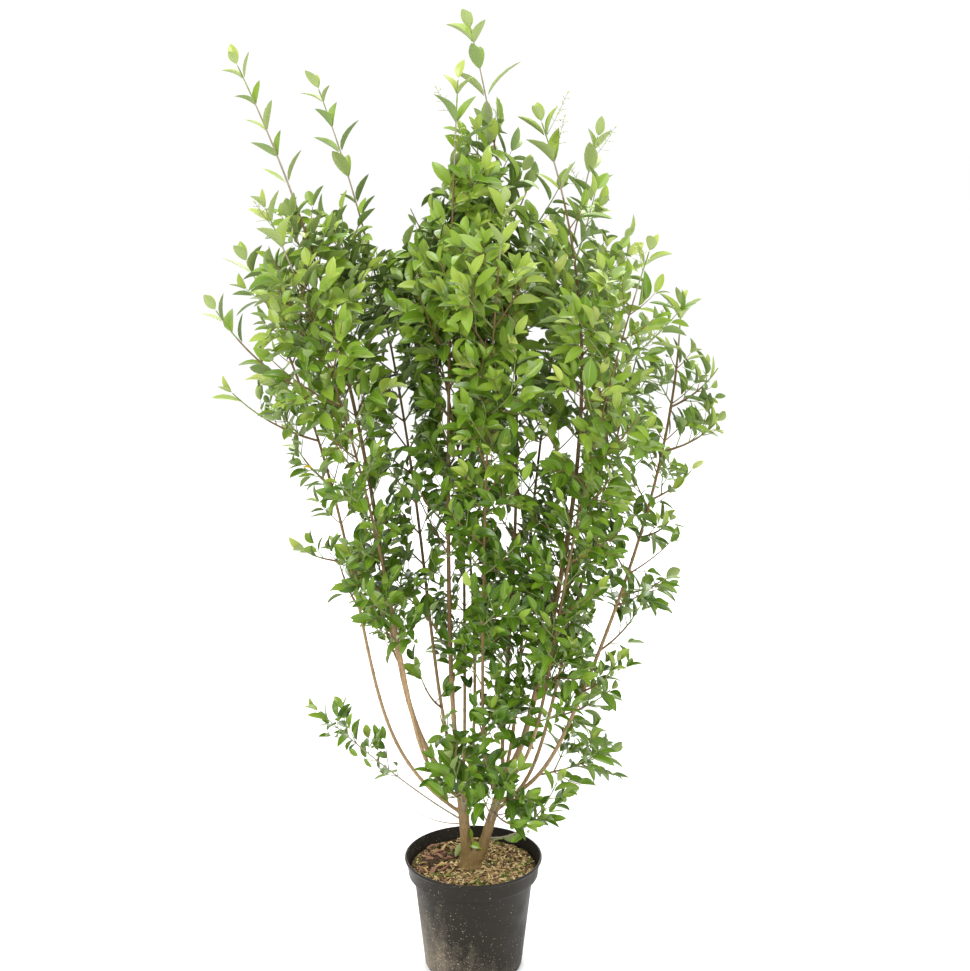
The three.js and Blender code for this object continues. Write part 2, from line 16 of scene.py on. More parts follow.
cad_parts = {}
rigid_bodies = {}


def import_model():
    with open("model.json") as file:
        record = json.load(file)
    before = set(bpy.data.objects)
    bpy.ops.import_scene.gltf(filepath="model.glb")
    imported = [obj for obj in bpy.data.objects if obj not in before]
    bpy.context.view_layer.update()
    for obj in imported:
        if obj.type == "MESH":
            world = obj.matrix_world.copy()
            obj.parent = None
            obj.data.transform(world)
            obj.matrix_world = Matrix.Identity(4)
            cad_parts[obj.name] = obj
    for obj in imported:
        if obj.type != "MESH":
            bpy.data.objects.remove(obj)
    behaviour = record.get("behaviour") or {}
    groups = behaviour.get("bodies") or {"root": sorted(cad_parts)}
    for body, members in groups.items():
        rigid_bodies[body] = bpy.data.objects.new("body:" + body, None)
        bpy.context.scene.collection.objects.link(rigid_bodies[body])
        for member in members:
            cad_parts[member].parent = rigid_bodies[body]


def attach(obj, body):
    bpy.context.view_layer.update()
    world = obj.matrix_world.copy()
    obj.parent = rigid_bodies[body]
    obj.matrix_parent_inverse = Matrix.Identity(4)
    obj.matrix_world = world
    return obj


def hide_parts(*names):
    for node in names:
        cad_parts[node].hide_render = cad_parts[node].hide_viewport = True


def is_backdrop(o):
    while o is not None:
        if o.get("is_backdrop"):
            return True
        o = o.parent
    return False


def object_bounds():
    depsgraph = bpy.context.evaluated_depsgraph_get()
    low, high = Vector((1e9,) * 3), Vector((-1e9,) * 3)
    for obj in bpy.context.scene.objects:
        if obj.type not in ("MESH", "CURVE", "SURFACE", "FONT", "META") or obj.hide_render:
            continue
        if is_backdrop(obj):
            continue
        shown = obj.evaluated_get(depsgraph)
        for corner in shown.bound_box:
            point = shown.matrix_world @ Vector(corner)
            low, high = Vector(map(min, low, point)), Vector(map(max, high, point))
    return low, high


MM = 0.001
UP = Vector((0, 0, 1))
DEPTH = Vector((0, 1, 0))
TURN = 2 * math.pi

# The pot and the mulch in it
POT_PROFILE = [  # its outline, from the axis and back: radius, height and rounding of the corner
    (0, 0, 0), (77, 0, 1), (80, 3, 2.4), (97, 157, 2), (106, 161, 2.4), (108.5, 185, 2),
    (112.5, 188, 1.6), (112, 192, 1.6), (109, 192, 1.2), (103.1, 165, 1.5), (94.6, 159, 1.5),
    (78.1, 4, 1), (0, 4, 0),
]
POT_SIDES = 128
ROUNDING_STEPS = 4
CRISP_EDGE = math.radians(40)
DRAIN_COUNT = 6
DRAIN_SIDES = 20
DRAIN_RADIUS = 6
DRAIN_DISTANCE = 76.5
DRAIN_HEIGHTS = (-8, 6)
SOIL_LEVEL = 170
SOIL_RADIUS = 102
SOIL_RINGS = 34
SOIL_SIDES = 110
SOIL_WALL = ((1, 167), (0.9, 158), (0.74, 4.5))  # the soil's side: share of its radius, and height
SOIL_BUMPS = ((3, 0.055, 3.2), (9, 0.19, 1.5))  # layer of noise, closeness and height
MULCH_COUNT = 2300
BARK_COUNT = 26
TRUNK_CLEARANCE = 20
PACKED_FROM = 88  # the mulch is finer from this radius to the pot's wall

# The trunk, the main stems, the stems on them and the shoots on those
Section = namedtuple("Section", "z x y half_width half_depth")
TRUNK_SECTIONS = [
    Section(170, -5, 4, 20, 16.4),
    Section(175, -4.8, 4, 17.2, 13.5),
    Section(186, -2, 3.8, 18, 11.5),
    Section(198, 0, 3.5, 16.5, 8.5),
]
BUTTRESS = 0.07
Main = namedtuple("Main", "foot tip foot_radius tip_radius")
MAINS = {
    "left": Main((-10, 4, 190), (-20, 2, 312), 9.6, 8.2),
    "right": Main((11.5, 3, 190), (54, -3, 345), 9.2, 6.2),
}
Stem = namedtuple("Stem", "main root swing elbow lean drift top radius enters leader twig")
STEMS = {
    "far_left": Stem("left", 262, (-127, 10), 85, (-95, 10), (-129, 10), 1190, 3, 985, 60, 75),
    "left_back": Stem("left", 283, (22, 40), 60, (0, 160), (-135, 60), 1205, 2.8, 500, 60, 115),
    "left_front": Stem("left", 290, (-60, -34), 55, (-120, -120), (-104, -20), 1285, 3.2, 560, 110, 115),
    "left_tall": Stem("left", 299, (-85, -2), 90, (-80, -25), (-155, -10), 1480, 4.4, 700, 250, 120),
    "centre_back": Stem("left", 297, (5, 28), 45, (0, 90), (-20, 20), 1340, 2.8, 480, 90, 115),
    "left_inner": Stem("left", 306, (-34, 12), 120, (-61, 70), (-125, 15), 1445, 3.0, 570, 220, 115),
    "centre": Stem("left", 311, (-20, -10), 150, (0, -40), (22, -5), 1460, 4.2, 500, 150, 120),
    "right_outer": Stem("right", 268, (55, 14), 35, (225, 60), (3, 10), 1075, 3.2, 500, 60, 112),
    "far_right": Stem("right", 284, (62, -8), 35, (395, -15), (-122, -5), 1130, 3.4, 985, 70, 76),
    "centre_front": Stem("right", 296, (-26, -32), 50, (0, -140), (35, -45), 1295, 2.8, 400, 90, 115),
    "right_front": Stem("right", 314, (44, -38), 55, (130, -130), (46, -60), 1230, 3.0, 430, 80, 120),
    "right_back": Stem("right", 322, (18, 44), 55, (60, 130), (80, 40), 1370, 3.0, 450, 150, 110),
    "centre_right": Stem("right", 333, (-8, 10), 25, (71, 25), (-139, 5), 1532, 3.4, 450, 165, 115),
    "right": Stem("right", 341, (16, -8), 25, (226, -35), (-220, -10), 1400, 5.2, 580, 130, 125),
}
STEM_TIP_RADIUS = 1.5
STEM_POINT_GAP = 9
COLLAR = 26  # length of a bough's thick foot, which is one surface with the trunk
COLLAR_OVERLAP = 4
OLD_NODE_GAP = 41
YOUNG_WOOD = 220
GREEN_WOOD_LENGTH = 50
LEADER_TIP_RADIUS = 0.9
BARK_VOXEL = 1.15
BARK_SMOOTHING = 5
BARK_RELIEF = 0.55

# Side shoots of each stem, named _a, _b and so on: root height, tip from the root, twigs' length
SideShoot = namedtuple("SideShoot", "stem root to twig")
SIDE_SHOOTS = {
    "far_left": (
        (608, (-52, 58, 112), 50), (685, (-92, -40, 36), 50), (810, (-82, 42, 87), 60),
        (880, (-151, -38, 97), 52), (962, (-152, 22, 138), 0),
    ),
    "left_inner": ((440, (-45, -60, 105), 60),),
    "centre": ((392, (-30, -84, 92), 60),),
    "centre_right": ((392, (24, -74, 112), 60),),
    "left_tall": ((520, (-50, 90, 120), 70), (640, (-70, -90, 120), 75)),
    "right": ((480, (60, -90, 110), 75), (545, (50, 95, 130), 75)),
    "right_outer": ((420, (125, -15, 68), 60), (475, (50, 110, 110), 70)),
    "far_right": (
        (335, (142, 20, 42), 80), (480, (68, -42, 82), 50), (548, (86, 62, 74), 55),
        (640, (98, 10, 36), 50), (735, (60, -52, 52), 55), (795, (90, 50, 52), 68),
        (872, (99, -50, 70), 65), (942, (95, 20, 76), 40),
    ),
}
SIDE_RADII = (1.9, 1.0)
SIDE_BARE = 0.14
SIDE_BEND = (0.5, 0.5, 0.25)  # shares of the way to the tip
LowShoot = namedtuple("LowShoot", "main root bend to bare twig")
LOW_SHOOTS = {
    "low_left": LowShoot("left", 250, (-84, -20, 58), (-248, -42, 222), 0.42, 44),
    "low_centre": LowShoot("left", 262, (2, -62, 50), (-22, -88, 150), 0.3, 70),
    "low_front": LowShoot("right", 250, (2, -60, 40), (34, -104, 140), 0.3, 70),
    "low_right": LowShoot("right", 222, (70, -34, 4), (130, -62, 138), 0.3, 50),
}
LOW_RADII = (1.6, 0.9)

# Thin bare twigs low down: main stem, root height, bend and tip from the root
BARE_TWIGS = [
    ("left", 246, (-50, -24, 6), (-92, -30, 46)),
    ("left", 268, (4, -40, 40), (30, -46, 96)),
    ("right", 240, (-10, -30, 40), (-22, -36, 84)),
    ("right", 262, (30, -30, 10), (74, -34, 58)),
]

# Small leafy twigs by the trunk's foot
SPURS = {
    "foot_right": LowShoot("right", 204, (12, 10, 10), (56, 24, 14), 0.2, 24),
    "foot_left": LowShoot("left", 208, (10, -6, 8), (24, -10, 14), 0.3, 0),
    "low_middle": LowShoot("right", 262, (-10, -50, 30), (-24, -84, 96), 0.3, 50),
    "low_back": LowShoot("left", 286, (10, 40, 40), (34, 78, 92), 0.3, 50),
}
SPUR_SEED = 70

# Short twigs along the bare part of the outermost stems: from which height, and how long
DRESSED = {
    "far_left": (600, 36),
    "far_right": (600, 62),
    "left_tall": (520, 44),
    "right_outer": (430, 44),
}
DRESSED_GAP = 62
DRESSED_SEED = 80

# Places where the photograph shows the sky or bare wood between the leaves: middle and half
# sizes, in pixels of its frame
OPENINGS = [
    (398, 110, 32, 108), (390, 226, 20, 20), (215, 170, 30, 62), (665, 135, 48, 80),
    (572, 70, 20, 66), (235, 458, 50, 50), (214, 340, 28, 20), (303, 582, 26, 28),
    (318, 645, 30, 36), (385, 487, 8, 12), (420, 508, 10, 14), (347, 520, 9, 20),
    (532, 485, 9, 12), (514, 513, 9, 7), (505, 538, 6, 10), (526, 448, 8, 10),
    (546, 446, 8, 10), (565, 440, 8, 12), (535, 336, 9, 10), (628, 449, 5, 6),
    (640, 478, 7, 14), (398, 712, 15, 46), (428, 702, 19, 40), (463, 712, 7, 24),
    (424, 632, 9, 12), (412, 803, 30, 19), (560, 842, 34, 15), (535, 776, 12, 12),
    (596, 806, 24, 20), (604, 624, 10, 22), (418, 562, 12, 7), (366, 660, 14, 26),
    (712, 296, 16, 10), (692, 445, 18, 17), (462, 806, 8, 8), (497, 822, 11, 24),
    (628, 190, 16, 26), (706, 505, 26, 32), (326, 769, 30, 26), (570, 395, 8, 8),
    (640, 560, 14, 10), (350, 455, 8, 9), (394, 445, 7, 5), (440, 480, 6, 8),
    (322, 440, 7, 6), (640, 690, 16, 22), (646, 625, 14, 14), (456, 815, 9, 20),
    (448, 400, 5, 62), (450, 560, 4, 42), (516, 400, 4, 32), (581, 348, 5, 24),
    (464, 600, 4, 26), (582, 392, 5, 22), (577, 450, 5, 22), (571, 510, 5, 20),
    (559, 580, 5, 20), (353, 402, 5, 22), (363, 445, 5, 22), (372, 495, 5, 22),
    (404, 415, 5, 24), (420, 538, 5, 22), (618, 430, 3, 14), (603, 492, 3, 16),
    (442, 148, 11, 14), (352, 215, 9, 12), (322, 568, 18, 20), (246, 400, 14, 16),
    (356, 780, 16, 16), (425, 205, 8, 10), (268, 366, 7, 6), (330, 196, 12, 14),
    (310, 448, 10, 12), (336, 470, 7, 9), (630, 625, 12, 12), (545, 205, 9, 9),
    (404, 746, 7, 12), (262, 428, 15, 11), (668, 560, 14, 12),
]

# The rule of growth, carried to finer twigs than the solids have. The wood of a shoot stops
# short of its reach, to leave room for the last leaves.
CROWN_END = 34
SIDE_END = 30
LOW_END = 26
SIDE_PAIR_GAP = 22
SIDE_LEADER = 24
LEADER_GAP = 40
END_GAP = 22
# Height, share of a twig's full length there, and gap between pairs of twigs
REACHES = ((430, 0.5, 52), (650, 0.60, 45), (900, 0.78, 42), (1120, 0.90, 46), (1300, 0.78, 46))
DEPTH_SHARE = 1.65  # twigs that run to the front or back are longer
SPREAD = 0.86
LIFT = 0.42
TWIG_SHARES = (0.4, 1.2)
TWIG_PAIR_GAP = (11.5, 0.07)  # the least gap between a twig's pairs, and what its length adds
FINE_TWIG_FROM = 62
FINE_TWIG_CHANCE = 0.7
FINE_TWIG_SHARES = (0.28, 0.45)
TRIES = ((1, 0), (0.87, 0), (0.8, 0.7), (0.6, -0.7))  # a twig's share of its length, and its turn
TWIG_RADII = (1.5, 0.7)
GREEN_TWIG_CHANCE = 0.55
WOOD_POINT_GAP = 7
BOX_MARGIN = 3

# Sprays of small green buds: the shoot, how far down from its tip, length, and way aside
BUD_SPRAYS = [
    ("centre", 60, 52, (-0.9, 0.2)),
    ("centre", 105, 46, (0.3, -0.9)),
    ("centre_right", 150, 44, (0.5, -0.8)),
    ("right_back", 40, 60, (0.8, -0.3)),
    ("right_back", 95, 46, (-0.8, 0.4)),
    ("right", 20, 66, (0.9, -0.4)),
    ("right", 55, 62, (0.6, 0.6)),
    ("right_outer", 10, 66, (0.8, -0.2)),
    ("right_outer", 44, 56, (0.9, 0.3)),
    ("right_front", 30, 44, (-0.5, -0.8)),
    ("centre_front", 40, 40, (0.4, -0.9)),
    ("left_front", 30, 42, (-0.7, -0.5)),
]
BUD_PAIRS = 6
BUD_STALKS = (13, 3)
BUD_SIZES = (2.2, 3.2)

# The leaves, at life size
LEAF_LENGTHS = ((250, 40), (550, 38), (900, 43), (1150, 52), (1300, 56))  # height, typical length
LEAF_SIZES = (1, 0.82)  # the smaller one is for places with less room
SIDE_LEAF_SHARE = 1.12  # leaves of low and side shoots stand in more light
END_SHARE = 0.72
PLACE_SHARES = (0.72, 0.92, 1, 0.96)  # from a twig's tip inwards
LEAF_WIDTH = 0.44
LEADER_WIDTH = 0.38  # the blades of a leader are narrower and more folded
END_WIDTH = 0.5  # but the young ones at its end are broad
UPRIGHT = 0.9  # how far a leader's blades turn to its tip and not to the sky
FLAT = 0.35
OUTWARD_TILT = 0.8
# Leaf tones by height: the darker greens low down are painted shade and the paler ones up top are painted
# light
LEAF_TONES_WITH_PAINTED_LIGHT = ((250, 1.5), (450, 1.45), (700, 1.4), (900, 1.9), (1150, 2.55), (1300, 3.0))  # by height
# Leaves further from the middle get paler greens: painted light on the crown's outside
OUTSIDE_PAINTED_LIGHT = 0.75
PAINTED_LIGHT_FROM = 60  # radius where leaves begin to stand in the light
PAINTED_LIGHT_OVER = 240
YOUNG_CHANCE = 0.45
TONE_SPREADS = (1.5, 1.0)
YOUNG_END = 1.8
LEAF_STATIONS = (0.1, 0.27, 0.46, 0.67, 0.87)
RIB = 0.05
LEAF_COLUMNS = (-1, -0.52, -RIB, RIB, 0.52, 1)
STALK = 0.07
STALK_HALF_WIDTH = 0.35
FOLDS = (0.22, 0.85)
ARCHES = (0.02, 0.34)
LEAF_ROOM = 10
WOOD_ROOM = 5.5
LEAVES_PER_PIECE = 2200
YELLOW_PLACE = Vector((-236, 0, 862))  # the leaf nearest to here has turned yellow

# Plain colours, dealt out by spray: darker greens low down and inside the shrub are painted shade, paler
# ones up top and on its outside are painted light, and lime is the young tips' own colour
GREENS = [
    (0.028, 0.075, 0.003),
    (0.058, 0.130, 0.005),
    (0.110, 0.207, 0.011),
    (0.184, 0.290, 0.024),
    (0.268, 0.362, 0.048),
    (0.352, 0.418, 0.080),
]
RIB_GREENS = [(0.15, 0.24, 0.03), (0.24, 0.34, 0.05), (0.36, 0.45, 0.09)]
UNDER_GREENS = [(0.16, 0.23, 0.07), (0.24, 0.33, 0.11), (0.34, 0.42, 0.15)]
YELLOW_LEAF = (0.62, 0.42, 0.02)
YELLOW_TONE = len(GREENS) + len(RIB_GREENS) + len(UNDER_GREENS)
TAN_BARK = (0.40, 0.275, 0.15)
BROWN_BARK = (0.185, 0.113, 0.042)
FOOT_BARK = (0.205, 0.135, 0.052)
FOOT_BARK_TO = 0.3  # in metres, as are the next two heights
BROWN_BARK_FROM = 0.36
DUST_TO = 0.075
GREEN_WOOD = (0.20, 0.26, 0.07)
GREY_WOOD = (0.30, 0.245, 0.175)
BROWN, GREEN, GREY = range(3)  # the looks of thin wood
POT_BLACK = (0.014, 0.012, 0.009)
POT_DUST = (0.26, 0.215, 0.155)
POT_SPECK = (0.494, 0.4085, 0.2945)
BUD_GREEN = (0.50, 0.56, 0.20)
SOIL_BROWN = (0.12, 0.08, 0.04)
SOIL_RAMP = [
    (0.32, (0.018, 0.012, 0.007)),
    (0.47, (0.060, 0.040, 0.020)),
    (0.60, (0.160, 0.105, 0.045)),
    (0.74, (0.360, 0.260, 0.110)),
]
MULCH_COLOURS = [
    (0.66, 0.52, 0.26),
    (0.40, 0.27, 0.11),
    (0.20, 0.12, 0.05),
    (0.055, 0.033, 0.020),
    (0.25, 0.13, 0.08),
    (0.15, 0.19, 0.04),
]
GOLDEN, DARK, RED, MOSSY = 1, 3, 4, 5
MULCH_SHARES = (0.36, 0.68, 0.88, 0.95, 1.0)  # of each colour but the mossy one, added up

# The camera stands at the photograph's viewing angle
CAMERA_PLACE = (0.019, -2.562, 1.438)
CAMERA_TILT = math.radians(90 - 13.69)
CAMERA_AHEAD = Vector((0, math.sin(CAMERA_TILT), -math.cos(CAMERA_TILT)))
CAMERA_UP = Vector((0, math.cos(CAMERA_TILT), math.sin(CAMERA_TILT)))
FOCAL_PIXELS = 1700
FRAME_PIXELS = 971
SENSOR = 36
FLOOR_SIZE = 80
FLOOR_GREY = (0.96, 0.96, 0.96)
SKY_STRENGTH = 1.05
LIGHTS = {  # place, size and power
    "key": ((-1.6, -2.6, 3.2), 1.3, 80),
    "fill": ((2.4, -2.2, 1.6), 2.0, 30),
    "top": ((0.2, 0.3, 3.6), 2.2, 50),
    "back": ((0.4, 3.0, 2.7), 2.4, 90),
}
LIGHT_AIM = Vector((0, 0, 0.8))


def chance(*keys):
    """The same keys always give the same number from 0 to 1."""
    value = 2166136261
    for key in keys:
        value = ((value ^ (key & 0xFFFFFFFF)) * 16777619) & 0xFFFFFFFF
        value ^= value >> 13
        value = (value * 1540483477) & 0xFFFFFFFF
    value ^= value >> 15
    return value / 4294967296


def between(low, high, share):
    return low + (high - low) * share


def pick(low, high, *keys):
    return between(low, high, chance(*keys))


def clamp(value, low=0.0, high=1.0):
    return max(low, min(high, value))


def on_circle(radius, angle):
    return radius * math.cos(angle), radius * math.sin(angle)


def read_table(rows, z):
    """The values at a height, read between a table's rows."""
    z = clamp(z, rows[0][0], rows[-1][0])
    for low, high in zip(rows, rows[1:]):
        if z <= high[0]:
            share = (z - low[0]) / (high[0] - low[0])
            return [between(a, b, share) for a, b in zip(low[1:], high[1:])]


def is_open(point):
    """Whether a point lies where the photograph shows the sky."""
    away = point * MM - Vector(CAMERA_PLACE)
    scale = FOCAL_PIXELS / away.dot(CAMERA_AHEAD)
    x, y = FRAME_PIXELS / 2 + away.x * scale, FRAME_PIXELS / 2 - away.dot(CAMERA_UP) * scale
    return any(((x - a) / w) ** 2 + ((y - b) / h) ** 2 < 1 for a, b, w, h in OPENINGS)


def ring_faces(rings, sides, first=0):
    """The faces between rings of points that follow each other."""
    faces = []
    for a in range(first, first + (rings - 1) * sides, sides):
        for j in range(sides):
            k = (j + 1) % sides
            faces.append((a + j, a + k, a + sides + k, a + sides + j))
    return faces


def end_faces(rings, sides):
    last = (rings - 1) * sides
    return [tuple(reversed(range(sides))), tuple(range(last, last + sides))]


def add_object(name, data):
    made = bpy.data.objects.new(name, data)
    bpy.context.scene.collection.objects.link(made)
    return made


class Shape:
    """Points in millimetres, faces and each face's look, gathered for one mesh."""

    def __init__(self):
        self.points = []
        self.faces = []
        self.looks = []

    def add(self, points, faces, look=0):
        """Adds faces that count from the first of their points, with one look or a list."""
        first = len(self.points)
        self.points.extend(points)
        self.faces.extend([tuple(first + i for i in face) for face in faces])
        self.looks.extend(look if isinstance(look, list) else [look] * len(faces))

    def object(self, name, materials, smooth=True):
        mesh = bpy.data.meshes.new(name)
        mesh.from_pydata([p * MM for p in self.points], [], self.faces)
        for material in materials:
            mesh.materials.append(material)
        mesh.polygons.foreach_set("material_index", self.looks)
        mesh.polygons.foreach_set("use_smooth", [smooth] * len(self.faces))
        mesh.update()
        return add_object(name, mesh)


class Path:
    """A smooth line through close points."""

    def __init__(self, points):
        self.points = points
        self.reached = [0.0]
        for a, b in zip(points, points[1:]):
            self.reached.append(self.reached[-1] + (b - a).length)
        self.length = self.reached[-1]

    def at(self, distance):
        """The point at a distance along the path, and the way it runs there."""
        distance = clamp(distance, 0, self.length)
        i = min(max(bisect_right(self.reached, distance) - 1, 0), len(self.points) - 2)
        span = self.reached[i + 1] - self.reached[i]
        share = (distance - self.reached[i]) / span if span else 0
        point = self.points[i].lerp(self.points[i + 1], share)
        before = self.points[max(i - 1, 0)]
        after = self.points[min(i + 2, len(self.points) - 1)]
        return point, (after - before).normalized()

    def part(self, start, end, steps):
        return Path([self.at(between(start, end, i / steps))[0] for i in range(steps + 1)])


Frame = namedtuple("Frame", "point ahead across outward")


def frame_at(path, distance):
    point, ahead = path.at(distance)
    across = ahead.cross(DEPTH).normalized()
    return Frame(point, ahead, across, across.cross(ahead))


def bezier(start, bend, end, steps):
    points = []
    for i in range(steps + 1):
        t = i / steps
        points.append(start * (1 - t) ** 2 + bend * (2 * t * (1 - t)) + end * t ** 2)
    return Path(points)


def main_point(main, z):
    foot = Vector(main.foot)
    return foot.lerp(Vector(main.tip), (z - main.foot[2]) / (main.tip[2] - main.foot[2]))


def stem_point(stem, z):
    foot = main_point(MAINS[stem.main], stem.root)
    height = z - stem.root
    share = height / (stem.top - stem.root)
    swung = 1 - math.exp(-height / stem.elbow)
    offset = [
        stem.swing[axis] * swung + stem.lean[axis] * height / 1000 + stem.drift[axis] * share ** 3
        for axis in (0, 1)
    ]
    return Vector((foot.x + offset[0], foot.y + offset[1], z))


def stem_radius(stem, z):
    return between(stem.radius, STEM_TIP_RADIUS, (z - stem.root) / (stem.top - stem.root))


def stem_path(stem, low, high):
    """The stem between two heights, with points closer together where it bends near its root."""
    steps = int((high - low) / STEM_POINT_GAP) + 4
    heights = [between(low, high, (i / steps) ** 1.35) for i in range(steps + 1)]
    return Path([stem_point(stem, z) for z in heights])


def taper(first, last, path):
    return lambda distance: between(first, last, distance / path.length)


def tube(shape, path, radius_at, sides, gap, look=0):
    """A round limb along a path, with a ring every `gap`. The look may go by distance."""
    look_at = look if callable(look) else lambda distance: look
    rings = max(2, int(path.length / gap) + 1)
    points, looks = [], []
    side = path.at(0)[1].orthogonal()
    for i in range(rings):
        distance = path.length * i / (rings - 1)
        point, ahead = path.at(distance)
        side = (side - ahead * side.dot(ahead)).normalized()
        other = ahead.cross(side)
        radius = radius_at(distance)
        for j in range(sides):
            angle = TURN * j / sides
            points.append(point + (side * math.cos(angle) + other * math.sin(angle)) * radius)
        looks += [look_at(distance)] * (sides if i else 0)
    points.append(path.points[-1] + path.at(path.length)[1] * radius_at(path.length) * 0.7)
    last = (rings - 1) * sides
    faces = ring_faces(rings, sides) + [tuple(reversed(range(sides)))]
    faces += [(last + j, last + (j + 1) % sides, len(points) - 1) for j in range(sides)]
    shape.add(points, faces, looks + [look_at(0)] + [look_at(path.length)] * sides)


def node_swelling(distance, gap, size):
    """The stem is a little thicker at each node."""
    away = abs((distance / gap) % 1 - 0.5) * gap
    return size * math.exp(-((away / 2.2) ** 2))


# Materials

def feed(socket, value):
    """Links a node's output to a socket, or sets the socket to a number or a colour."""
    if isinstance(value, bpy.types.NodeSocket):
        value.id_data.links.new(value, socket)
    else:
        socket.default_value = (*value, 1) if isinstance(value, tuple) else value


def node_material(name, colour, roughness, specular=0.5):
    material = bpy.data.materials.new(name)
    material.use_nodes = True
    shader = material.node_tree.nodes["Principled BSDF"]
    feed(shader.inputs["Base Color"], colour)
    feed(shader.inputs["Roughness"], roughness)
    feed(shader.inputs["Specular IOR Level"], specular)
    return material, material.node_tree, shader


def add_node(tree, kind, **values):
    node = tree.nodes.new(kind)
    for name, value in values.items():
        if name in node.inputs:
            node.inputs[name].default_value = value
        else:
            setattr(node, name, value)
    return node


def noise_over(tree, scale, detail, stretch=None):
    """Noise over the object, finer along some axes where it is stretched."""
    place = add_node(tree, "ShaderNodeTexCoord").outputs["Object"]
    if stretch:
        mapping = add_node(tree, "ShaderNodeMapping", Scale=stretch)
        feed(mapping.inputs["Vector"], place)
        place = mapping.outputs["Vector"]
    texture = add_node(tree, "ShaderNodeTexNoise", Scale=scale, Detail=detail)
    feed(texture.inputs["Vector"], place)
    return texture.outputs["Fac"]


def place_axis(tree, axis):
    """One coordinate of the object, in metres."""
    parts = add_node(tree, "ShaderNodeSeparateXYZ")
    feed(parts.inputs["Vector"], add_node(tree, "ShaderNodeTexCoord").outputs["Object"])
    return parts.outputs[axis]


def weighted_sum(tree, total, *terms):
    """A number plus some nodes' outputs, each times its weight."""
    for source, weight in terms:
        node = add_node(tree, "ShaderNodeMath", operation="MULTIPLY_ADD", use_clamp=False)
        for socket, value in zip(node.inputs, (source, weight, total)):
            feed(socket, value)
        total = node.outputs["Value"]
    return total


def ramp_over(tree, source, stops):
    """Colours or greys at places from 0 to 1."""
    ramp = tree.nodes.new("ShaderNodeValToRGB")
    elements = ramp.color_ramp.elements
    while len(elements) < len(stops):
        elements.new(0.5)
    for element, (place, colour) in zip(elements, stops):
        element.position = place
        element.color = (*(colour if isinstance(colour, tuple) else [colour] * 3), 1)
    feed(ramp.inputs["Fac"], source)
    return ramp.outputs["Color"]


def mix_colour(tree, factor, first, second, blend="MIX"):
    """A colour made of two others; each is a node's output or a plain colour."""
    mix = add_node(tree, "ShaderNodeMix", data_type="RGBA", blend_type=blend)
    for socket, value in zip((mix.inputs[0], mix.inputs[6], mix.inputs[7]), (factor, first, second)):
        feed(socket, value)
    return mix.outputs[2]


def add_bump(tree, shader, height, strength, distance):
    bump = add_node(tree, "ShaderNodeBump", Strength=strength, Distance=distance)
    feed(bump.inputs["Height"], height)
    feed(shader.inputs["Normal"], bump.outputs["Normal"])


def leaf_material(name, colour, roughness, coat=0.0):
    """A leaf: plain colour, glossy wax over fine relief."""
    material, tree, shader = node_material(name, colour, roughness, specular=0.3)
    feed(shader.inputs["Coat Weight"], coat)
    feed(shader.inputs["Coat Roughness"], 0.28)
    add_bump(tree, shader, noise_over(tree, 700, 1.0), strength=0.12, distance=0.0003)
    return material


def bark_material():
    """Fissured bark: greenish tan at the foot, tan on the low stems and reddish brown above."""
    material, tree, shader = node_material("bark", TAN_BARK, 0.78, specular=0.2)
    grain = noise_over(tree, 1.0, 6.0, stretch=(430, 430, 110))
    patches = noise_over(tree, 38, 3.0)
    height = place_axis(tree, "Z")
    foot = weighted_sum(tree, FOOT_BARK_TO * 9, (height, -9), (patches, 0.4))
    above = weighted_sum(tree, BROWN_BARK_FROM * -1.7 - 0.25, (height, 1.7), (patches, 0.5))
    colour = mix_colour(tree, foot, TAN_BARK, FOOT_BARK)
    colour = mix_colour(tree, above, colour, BROWN_BARK)
    cracks = ramp_over(tree, grain, [(0.3, 0.66), (0.5, 0.96), (0.7, 1.12)])
    feed(shader.inputs["Base Color"], mix_colour(tree, 1.0, colour, cracks, "MULTIPLY"))
    add_bump(tree, shader, grain, strength=0.6, distance=0.0012)
    return material


def wood_material(name, colour, roughness):
    """Thin wood in one plain colour, with fine relief."""
    material, tree, shader = node_material(name, colour, roughness)
    grain = noise_over(tree, 1.0, 4.0, stretch=(500, 500, 160))
    add_bump(tree, shader, grain, strength=0.5, distance=0.0008)
    return material


def pot_material():
    """Moulded black plastic with dried mud, thickest on the left and towards the foot."""
    material, tree, shader = node_material("pot", POT_BLACK, 0.5, specular=0.15)
    film = noise_over(tree, 24, 7.0)
    streaks = noise_over(tree, 1.0, 5.0, stretch=(80, 80, 22))
    grit = noise_over(tree, 170, 5.0)
    specks = noise_over(tree, 430, 1.5)
    low, left = (place_axis(tree, "Z"), -4.6), (place_axis(tree, "X"), -4.4)
    dirt = weighted_sum(tree, DUST_TO * 4.6, low, left)
    dust = weighted_sum(tree, -0.97, (dirt, 1), (film, 0.9), (streaks, 0.5), (grit, 0.5))
    dust = ramp_over(tree, dust, [(0.02, 0.02), (0.3, 0.22), (0.8, 0.85)])
    dots = weighted_sum(tree, 0, (specks, 1), (dirt, 0.09))
    dots = ramp_over(tree, dots, [(0.685, 0), (0.72, 0.8)])
    colour = mix_colour(tree, dust, POT_BLACK, POT_DUST)
    feed(shader.inputs["Base Color"], mix_colour(tree, dots, colour, POT_SPECK))
    feed(shader.inputs["Roughness"], ramp_over(tree, film, [(0.35, 0.36), (0.7, 0.6)]))
    add_bump(tree, shader, specks, strength=0.25, distance=0.0006)
    return material


def mulch_material(name, colour):
    material, tree, shader = node_material(name, colour, 0.9, specular=0.12)
    add_bump(tree, shader, noise_over(tree, 900, 3.0), strength=0.7, distance=0.001)
    return material


def soil_material():
    """Crumbled compost and rotted straw under the loose mulch."""
    material, tree, shader = node_material("soil", SOIL_BROWN, 0.95, specular=0.1)
    crumbs = noise_over(tree, 260, 8.0)
    feed(shader.inputs["Base Color"], ramp_over(tree, crumbs, SOIL_RAMP))
    add_bump(tree, shader, crumbs, strength=1.0, distance=0.003)
    return material


# The pot

